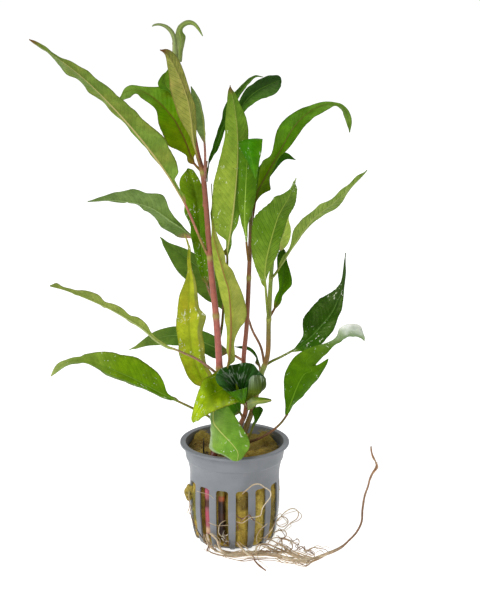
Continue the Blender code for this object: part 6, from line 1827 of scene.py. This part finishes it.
# Strands by the piece that they belong to: the way as the photograph shows it, the radii (mm) and the
# colours. A place is (pixel across, pixel down, mm behind the pot's axis), or has only the pixels where the
# strand lies on the floor.
ROOTS = {
    "root_long": [
        ([(207, 534, -21), (209, 541, -23.5), (214, 549), (222, 553), (234, 555), (250, 554.6), (266, 554.4),
          (280, 556), (292, 559.5), (307, 560), (319, 556.4), (328, 553, -30.5), (337, 549, -29), (344, 545, -28),
          (348.5, 541, -27), (356, 533, -26), (361.5, 522, -24.5), (362.5, 510, -23), (364.5, 497, -21.5),
          (368, 486.5, -19.5), (370, 478.5, -18.5), (373.4, 471.5, -17), (376.6, 466.8, -16), (375, 460, -15.5),
          (372, 453, -15), (371, 446, -14.5)], (0.7, 0.6, 0.6, 0.65, 0.8, 0.62, 0.62, 0.55, 0.32),
          (CREAM, CREAM, TAN, CREAM, CREAM, BROWN, BROWN, "#a07a58", BROWN)),
        ([(320, 557, -31), (329, 553.6, -30.2), (338, 549.6, -28.6), (344, 546, -27.4)], (0.5, 0.7, 0.5),
          (CREAM, TAN, RUST)),
        ([(370.5, 477, -18), (374, 472.5, -17.4), (377.8, 467.5, -16.6), (376.6, 463, -16), (373, 458, -15.2),
          (370.8, 451, -14.6), (370.6, 447, -14)], (0.3, 0.3, 0.2), ("#b08e70", "#c0a080", "#a07a58")),
        ([(368.5, 484, -19), (372.5, 474, -17), (375.5, 466, -15.4), (377.5, 461.6, -15)], (0.3, 0.32, 0.16),
          (BROWN, "#b99a7c", "#c8b09a")),
    ],
    "root_bundle": [
        ([(204.5, 534.8, -20.5), (206.6, 540.4, -23), (210.8, 547.5, -25), (218, 551.4), (226.5, 554.8),
          (236, 555.8), (250, 555.6), (262, 555), (276, 556.6), (288, 560.6), (300, 561.4), (309, 560.4)],
          (0.5, 0.6, 0.5, 0.45), (TAN, CREAM, TAN, CREAM)),
        ([(210, 533.4, -20.6), (216.5, 539.7, -23), (218.8, 546, -24.5), (222.4, 551.4, -26), (229, 554.2),
          (243, 553.6), (260, 552.8), (277, 554.2), (287, 557), (297, 557.4), (306, 558.6), (316, 557)],
          (0.65, 0.6, 0.45, 0.5), (CREAM, CREAM, TAN, CREAM)),
        ([(207, 540.4, -22.4), (208.8, 544.6, -23.6), (206.9, 551.7, -25)], (0.3, 0.55, 0.3), (RUST, RUST, BROWN)),
        ([(215, 545, -23.5), (221, 549.6), (229, 552), (240, 552.4), (252, 551.8), (262, 551), (271, 552)],
          (0.45, 0.65, 0.6, 0.5), (CREAM, TAN, CREAM, BROWN)),
        ([(224, 552.6), (234, 553.2), (246, 552.4), (257, 553.4), (268, 553), (279, 555.4)], (0.35, 0.5, 0.4),
          (TAN, CREAM, TAN)),
        ([(206.6, 549, -24), (212, 552.6), (223.5, 555.6), (236, 556.8), (247, 556)], (0.3, 0.4, 0.25),
          (BROWN, TAN, CREAM)),
        ([(262, 546, -23), (270, 549, -25), (280, 551.7), (290, 553.4), (297, 554.8), (305, 557.4), (312, 558.6)],
          (0.4, 0.5, 0.4), LIGHT),
        ([(266, 550, -25), (276, 552.8), (286, 552.6), (295, 556.6), (303, 561), (310, 559.4), (318, 556)],
          (0.3, 0.4, 0.35), WORN),
        ([(274, 545, -21), (283, 546.6, -24), (291, 551), (299, 553), (306, 556.2), (313, 557.6)], (0.3, 0.4, 0.35),
          PALE),
        ([(277, 557.2), (285, 561.4), (293, 563.2), (300, 560.8), (305, 557.6)], (0.25, 0.3, 0.25), LIGHT),
        ([(292.5, 561.6), (296.8, 564.6), (305.9, 566.4), (308, 563.7), (306.6, 560.6)], (0.25, 0.28, 0.2),
          LIGHT),
        ([(299, 561.4), (309, 562), (317, 559), (324, 555.6)], (0.3, 0.5, 0.3), LIGHT),
        ([(225, 556.4), (240, 558), (252, 557.4), (263, 557.6), (274, 558.8), (283, 558.6)], (0.2, 0.3, 0.2),
          (TAN, CREAM, TAN)),
    ],
    "root_front": [
        ([(236.9, 542.5, -22.5), (240, 546.4, -24.5), (243.5, 550.3, -27), (247, 553.6, -29), (250.5, 555.6, -31)],
          (0.5, 0.72, 0.6), (TAN, CREAM, CREAM)),
        ([(249.5, 553.6, -29.5), (253.6, 557.3, -32.5), (255, 561, -35), (259, 565.4), (265.6, 570.3)],
          (0.4, 0.45, 0.55, 0.35), (CREAM, BROWN, BROWN, "#8a6648")),
        ([(252, 554, -28.5), (256.5, 552, -26.5), (262, 551.6, -26), (268, 553.4)], (0.25, 0.3, 0.2), LIGHT),
    ],
    "root_loop": [
        ([(242.5, 494, -23.2), (245.4, 491, -23.8), (248.9, 488.3, -24.6), (252.6, 485.4, -25), (257.3, 484, -25),
          (261, 484.9, -24.6), (264.4, 487.2, -24), (267.6, 489, -23.2), (270.5, 491.8, -22.6),
          (270.4, 496.4, -22.4), (267.6, 500.8, -22.8), (264.4, 505.2, -23.2), (262, 510, -23.4),
          (260.8, 515, -23.4), (257.4, 516.6, -23.6), (254.5, 517.2, -23.8), (250.6, 517.6, -24), (247, 520, -24),
          (243.2, 522.4, -24), (239.6, 522.6, -23.6), (236.2, 521.6, -22.6)], (0.34, 0.36, 0.34, 0.3, 0.3),
          (TAN, CREAM, "#e2d4ba", CREAM, TAN)),
        ([(236.4, 515, -22.6), (239, 517.6, -23.4), (241.8, 518.8, -23.8), (245.4, 517.4, -24), (248.9, 515, -24),
          (250.6, 516.4, -24), (252.4, 519, -23.8), (254.8, 521, -23)], (0.3, 0.4, 0.25), (RUST, BROWN, RUST)),
        ([(240, 521.6, -23.2), (243, 519.6, -24), (246.6, 516.2, -24.6), (250, 514.6, -24.2)], (0.25, 0.32, 0.2),
          (BROWN, TAN, BROWN)),
        ([(236.6, 523, -22.4), (237.8, 527, -22.2), (238, 531, -21.6)], (0.25, 0.3, 0.15), (RUST, BROWN, BROWN)),
        ([(208.7, 522.6, -20.8), (213.4, 524.6, -22.4), (217.9, 525.8, -22.6), (223, 525.6, -21.6),
          (229, 525.2, -22.6)], (0.2, 0.22, 0.18), LIGHT),
        ([(226.3, 520, -21.4), (222, 522.4, -21.8), (219.3, 525.2, -22.3), (218.6, 529, -22.3), (219, 533, -21.8),
          (222, 536.2, -21), (225.4, 535.8, -20.8), (228, 534.4, -21.5)], (0.22, 0.28, 0.3), (TAN, CREAM, CREAM)),
        ([(257.3, 543.2, -20.6), (256.6, 537.6, -21), (258, 533.6, -21.4), (260.4, 530.2, -21.6),
          (264, 526.4, -21.2), (267.4, 523.5, -20.4)], (0.25, 0.28, 0.2), LIGHT),
        ([(264.4, 538, -18.8), (267.6, 534.6, -19), (271, 530.6, -18.4), (273.6, 526, -17.4), (275, 521.4, -16.4)],
          (0.3, 0.34, 0.25), WORN),
        ([(251, 519, -23.4), (255, 521, -22.6), (259.6, 523.6, -22), (264, 526.8, -21)], (0.18, 0.2, 0.14), LIGHT),
        ([(222.6, 533, -20.6), (226, 537.4, -21.4), (224, 541, -21.8), (227.4, 544.6, -22)], (0.25, 0.4, 0.3),
          ("#8a8474", "#5c4c38", "#3a2c1c")),
        ([(224.4, 530, -20.6), (222.8, 536, -20.8), (226.4, 540.6, -21.4), (223.6, 545, -22)], (0.35, 0.3, 0.4),
          ("#4a3a28", "#c8c0b0", "#8a7a60")),
        ([(221.6, 538, -21), (224.8, 541.6, -21.6), (228.4, 541, -21.6), (229, 545, -22.2)], (0.3, 0.45, 0.3),
          ("#d6d0c2", "#a89c84", "#4a3a28")),
        ([(196.6, 491, -15.6), (200.4, 492.2, -18), (204, 493.2, -19.4), (210, 495.4, -20.6),
          (213.6, 498.6, -21.6)], (0.16, 0.18, 0.14), LIGHT),
    ],
    "root_side_loops": [
        ([(276.6, 521.6, -13), (280, 517.6, -13), (285.5, 512.2, -12), (291, 508.9, -11), (296, 509.4, -10.4),
          (298.5, 513.8, -10.6), (296.4, 519, -11.4), (291.4, 522.6, -12.4), (288, 525.6, -13), (283, 530, -14),
          (277, 530.8, -15)], (0.3, 0.3, 0.26), (TAN, CREAM, TAN, CREAM)),
        ([(277.4, 519.6, -12.6), (281, 517, -12.2), (285.4, 517.2, -12), (288, 520, -12), (287.6, 523.6, -12.6),
          (283, 526.8, -13.4), (279, 526.4, -13.8), (276.4, 523.6, -13.8)], (0.28, 0.3, 0.26), LIGHT),
        ([(273.6, 532.6, -15.6), (278, 530.4, -15), (283, 529.8, -14.4), (286.4, 533, -14.4), (285.4, 537, -15),
          (281.6, 540, -17), (279, 544, -19)], (0.25, 0.28, 0.24), LIGHT),
        ([(268, 543.2, -19), (272.8, 538.4, -17.6), (278, 537.8, -17), (284, 539.4, -18), (289.7, 541, -19),
          (292.6, 545.6, -20.6), (290.4, 550), (283, 550.6)], (0.3, 0.36, 0.3), LIGHT),
        ([(281.3, 551, -23), (282.4, 545, -20.6), (282, 540, -18), (277.6, 535.6, -16.6)], (0.3, 0.26, 0.22), WORN),
        ([(288, 541.4, -19), (292.5, 540.2, -19.4), (298.4, 539.4, -20.4), (299.2, 542.6, -22), (297, 547, -25),
          (297.6, 549.6)], (0.16, 0.16, 0.16), ("#b9b0a4", TAN)),
        ([(296, 550.4), (301, 546.4, -24), (304, 549, -26), (306.4, 552.6), (311, 554.9)], (0.25, 0.28, 0.24),
          (TAN, BROWN, CREAM)),
        ([(304.6, 553.4), (309.4, 548.8, -25), (314, 547.8, -26), (320, 548.4, -27), (325.4, 549.4, -28.4),
          (327.7, 551.6, -29.6)], (0.28, 0.3, 0.22), (CREAM, TAN, BROWN)),
        ([(303, 550.6, -25.6), (308, 549.8, -26), (313, 551.2), (315, 554), (311, 556)], (0.22, 0.26, 0.22), LIGHT),
        ([(255.4, 553, -25), (257, 547, -23.6), (260.6, 544.4, -22.4), (268, 544.2, -21), (276, 547.6, -22),
          (284, 551), (292, 555.4), (300, 558)], (0.4, 0.5, 0.42), LIGHT),
        ([(264, 541, -19.6), (269, 539.6, -18.6), (275, 542, -19), (282, 546, -21), (289, 551), (297, 555.6),
          (305, 558.6)], (0.25, 0.35, 0.3), (TAN, CREAM, TAN)),
        ([(272, 552, -24.6), (275.6, 546.6, -21.6), (281, 543.8, -19.6), (288, 546.6, -22), (294, 551.4),
          (301, 554.4), (309, 556.2)], (0.2, 0.26, 0.22), LIGHT),
        ([(259.4, 551.4, -25), (264.4, 547.4, -22.8), (270.6, 548, -22.8), (275, 551.4), (281, 553.8)],
          (0.2, 0.3, 0.25), (BROWN, TAN, CREAM)),
        ([(289, 545.4, -22), (294, 543.6, -22.4), (298, 546.2, -24), (300.6, 550.8)], (0.14, 0.16, 0.14),
          ("#c8c0b2", "#b9b0a4")),
        ([(286, 536, -15), (290, 537.4, -17), (291.6, 541, -19), (289, 544, -21)], (0.14, 0.16, 0.14),
          ("#c8c0b2", "#b9b0a4")),
        ([(316, 552.6, -29), (320, 550.6, -28), (324, 552.4, -29.6)], (0.16, 0.2, 0.16), (TAN, BROWN)),
    ],
    "root_left": [
        ([(189.6, 491, -14.6), (188.8, 497, -15.4), (189.8, 504, -16), (188.8, 509, -16.2), (187.4, 513, -16.4)],
          (0.5, 0.32, 0.2), ("#a39a5c", TAN, CREAM)),
        ([(191, 505, -15.8), (190.6, 509, -16.6), (189.6, 514.4, -17)], (0.25, 0.3, 0.2), (BROWN, TAN)),
        ([(190.6, 513, -15.6), (192, 519, -16.6), (195, 526, -18), (199, 533, -19.4), (203.6, 540, -20.8),
          (207, 545, -22)], (0.25, 0.35, 0.3), (BROWN, "#4a4434", RUST)),
        ([(194, 522, -17), (196.6, 529.6, -19), (200.4, 536, -20), (206, 541.6, -21.6)], (0.16, 0.22, 0.16),
          (TAN, "#6a604a")),
    ],
}


def companions(strands, count, seed):
    """Finer roots that wander beside the ones named above."""
    rng = np.random.default_rng(seed)
    beside = []
    for route, _, _ in strands:
        for _ in range(count):
            off_x, off_y = rng.uniform(*OFF_ACROSS), rng.uniform(*OFF_DOWN)
            way = []
            for p in route:
                px, py = p[0] + off_x + rng.normal(0, WAVER_ACROSS), p[1] + off_y + rng.normal(0, WAVER_DOWN)
                depth = [p[2] + rng.uniform(-WAVER_DEPTH, WAVER_DEPTH)] if len(p) == 3 else []
                way.append((px, py, *depth))
            size = rng.uniform(*FINER_RADII)
            colours = (CREAM, TAN, CREAM, "#b9a07e", BROWN, TAN)
            first = int(rng.integers(4))
            beside.append((way, (size * 0.7, size, size * 0.6), colours[first:first + 3]))
    return beside


def root_way(points, radius):
    """The strand's route in mm."""
    return [seen(*p) if len(p) == 3 else on_floor(*p, radius) for p in points]


def build_roots(skin):
    for node, strands in ROOTS.items():
        mesh = Mesh()
        slimmer = BUNDLE_SLIMMER if node == "root_bundle" else SLIMMER
        if node in COMPANIONS:
            strands = strands + companions(strands, COMPANIONS[node], len(node))
        for i, (route, radii, colours) in enumerate(strands):
            widest = max(radii)
            strand(mesh, root_way(route, widest * 0.9), [slimmer * r for r in radii], colours,
                   sides=8 if widest > THIN_ROOT else 6, spacing=RING_SPACING,
                   wobble=0.25 if widest < THIN_ROOT else 0.12, seed=i * 3.1)
        for p in mesh.points:
            p.z = max(p.z, LEAST_HEIGHT)
        stands_for(mesh.build(node + "_strands", [skin]), "root", node)


# Putting it together

def stands_for(piece, slot, *nodes):
    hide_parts(*nodes)
    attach(piece, "root")


def area_light(name, place, target, size, power):
    data = bpy.data.lights.new(name, "AREA")
    data.shape = "RECTANGLE"
    data.size, data.size_y = size
    data.energy = power
    light = linked(name, data)
    light.location = place
    light.rotation_euler = (Vector(target) - Vector(place)).to_track_quat("-Z", "Y").to_euler()


def build_stage():
    world = bpy.data.worlds.new("studio")
    world.use_nodes = True
    world.node_tree.nodes["Background"].inputs["Color"].default_value = (1.0, 1.0, 1.0, 1.0)
    nodes, links = world.node_tree.nodes, world.node_tree.links
    path, strength = nodes.new("ShaderNodeLightPath"), nodes.new("ShaderNodeMapRange")
    strength.inputs["To Min"].default_value, strength.inputs["To Max"].default_value = WORLD_LIGHT
    links.new(path.outputs["Is Camera Ray"], strength.inputs["Value"])
    links.new(strength.outputs["Result"], nodes["Background"].inputs["Strength"])
    bpy.context.scene.world = world
    bpy.context.scene.view_settings.view_transform = "Standard"
    mesh = bpy.data.meshes.new("floor")
    reach = FLOOR_REACH
    corners = [(-reach, -reach, 0), (reach, -reach, 0), (reach, reach, 0), (-reach, reach, 0)]
    mesh.from_pydata(corners, [], [(0, 1, 2, 3)])
    n = Nodes("floor_white")
    n.set("Base Color", (0.7, 0.7, 0.7, 1.0))
    n.set("Roughness", 0.8)
    n.set("Emission Color", (1.0, 1.0, 1.0, 1.0))
    n.set("Emission Strength", FLOOR_GLOW)
    mesh.materials.append(n.material)
    floor = linked("floor", mesh)
    for light in LIGHTS:
        area_light(*light)


def build_camera():
    data = bpy.data.cameras.new("camera")
    data.sensor_fit = "VERTICAL"
    data.sensor_height = 36.0
    data.sensor_width = 36.0
    data.lens = FOCAL_PIXELS / PHOTO_SIZE[1] * data.sensor_height
    data.clip_start = 0.01
    camera = linked("camera", data)
    camera.location = CAMERA * MM
    camera.rotation_euler = (math.pi / 2 - LOOKING_DOWN, 0, 0)
    bpy.context.scene.camera = camera


def build_blade(name, drop_glints):
    """A leaf, by whichever way suits its shape."""
    shown = LOOKS[name]
    if name in LEAVES:
        return build_leaf(name, LEAVES[name], shown, drop_glints)
    sheet = SHEETS[name]
    if sheet["polar"]:
        looks = [funnel_material(name + "_upper", False), funnel_material(name + "_under", True)]
    else:
        looks = leaf_looks(name, shown, SHEET_LENGTH)
    return build_sheet(name, sheet, shown, looks, drop_glints)


def main():
    drop_glints = drop_glint_material()
    build_camera()
    build_stage()
    stands_for(build_pot(), "pot", "pot")
    stands_for(build_wool(), "rock_wool", "rock_wool")
    fibres = build_fibres()
    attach(fibres, "root")
    for name, row in STEMS.items():
        stands_for(build_stem(name, row), name, name)
    build_roots(tinted_material("root_skin", 0.5, 700, 0.00004, 0.2, 0.15))
    slots = {s["node"]: s["material_slot"] for s in frame["record"]["subparts"]}
    for name in LOOKS:
        stands_for(build_blade(name, drop_glints), slots[name], name)


main()
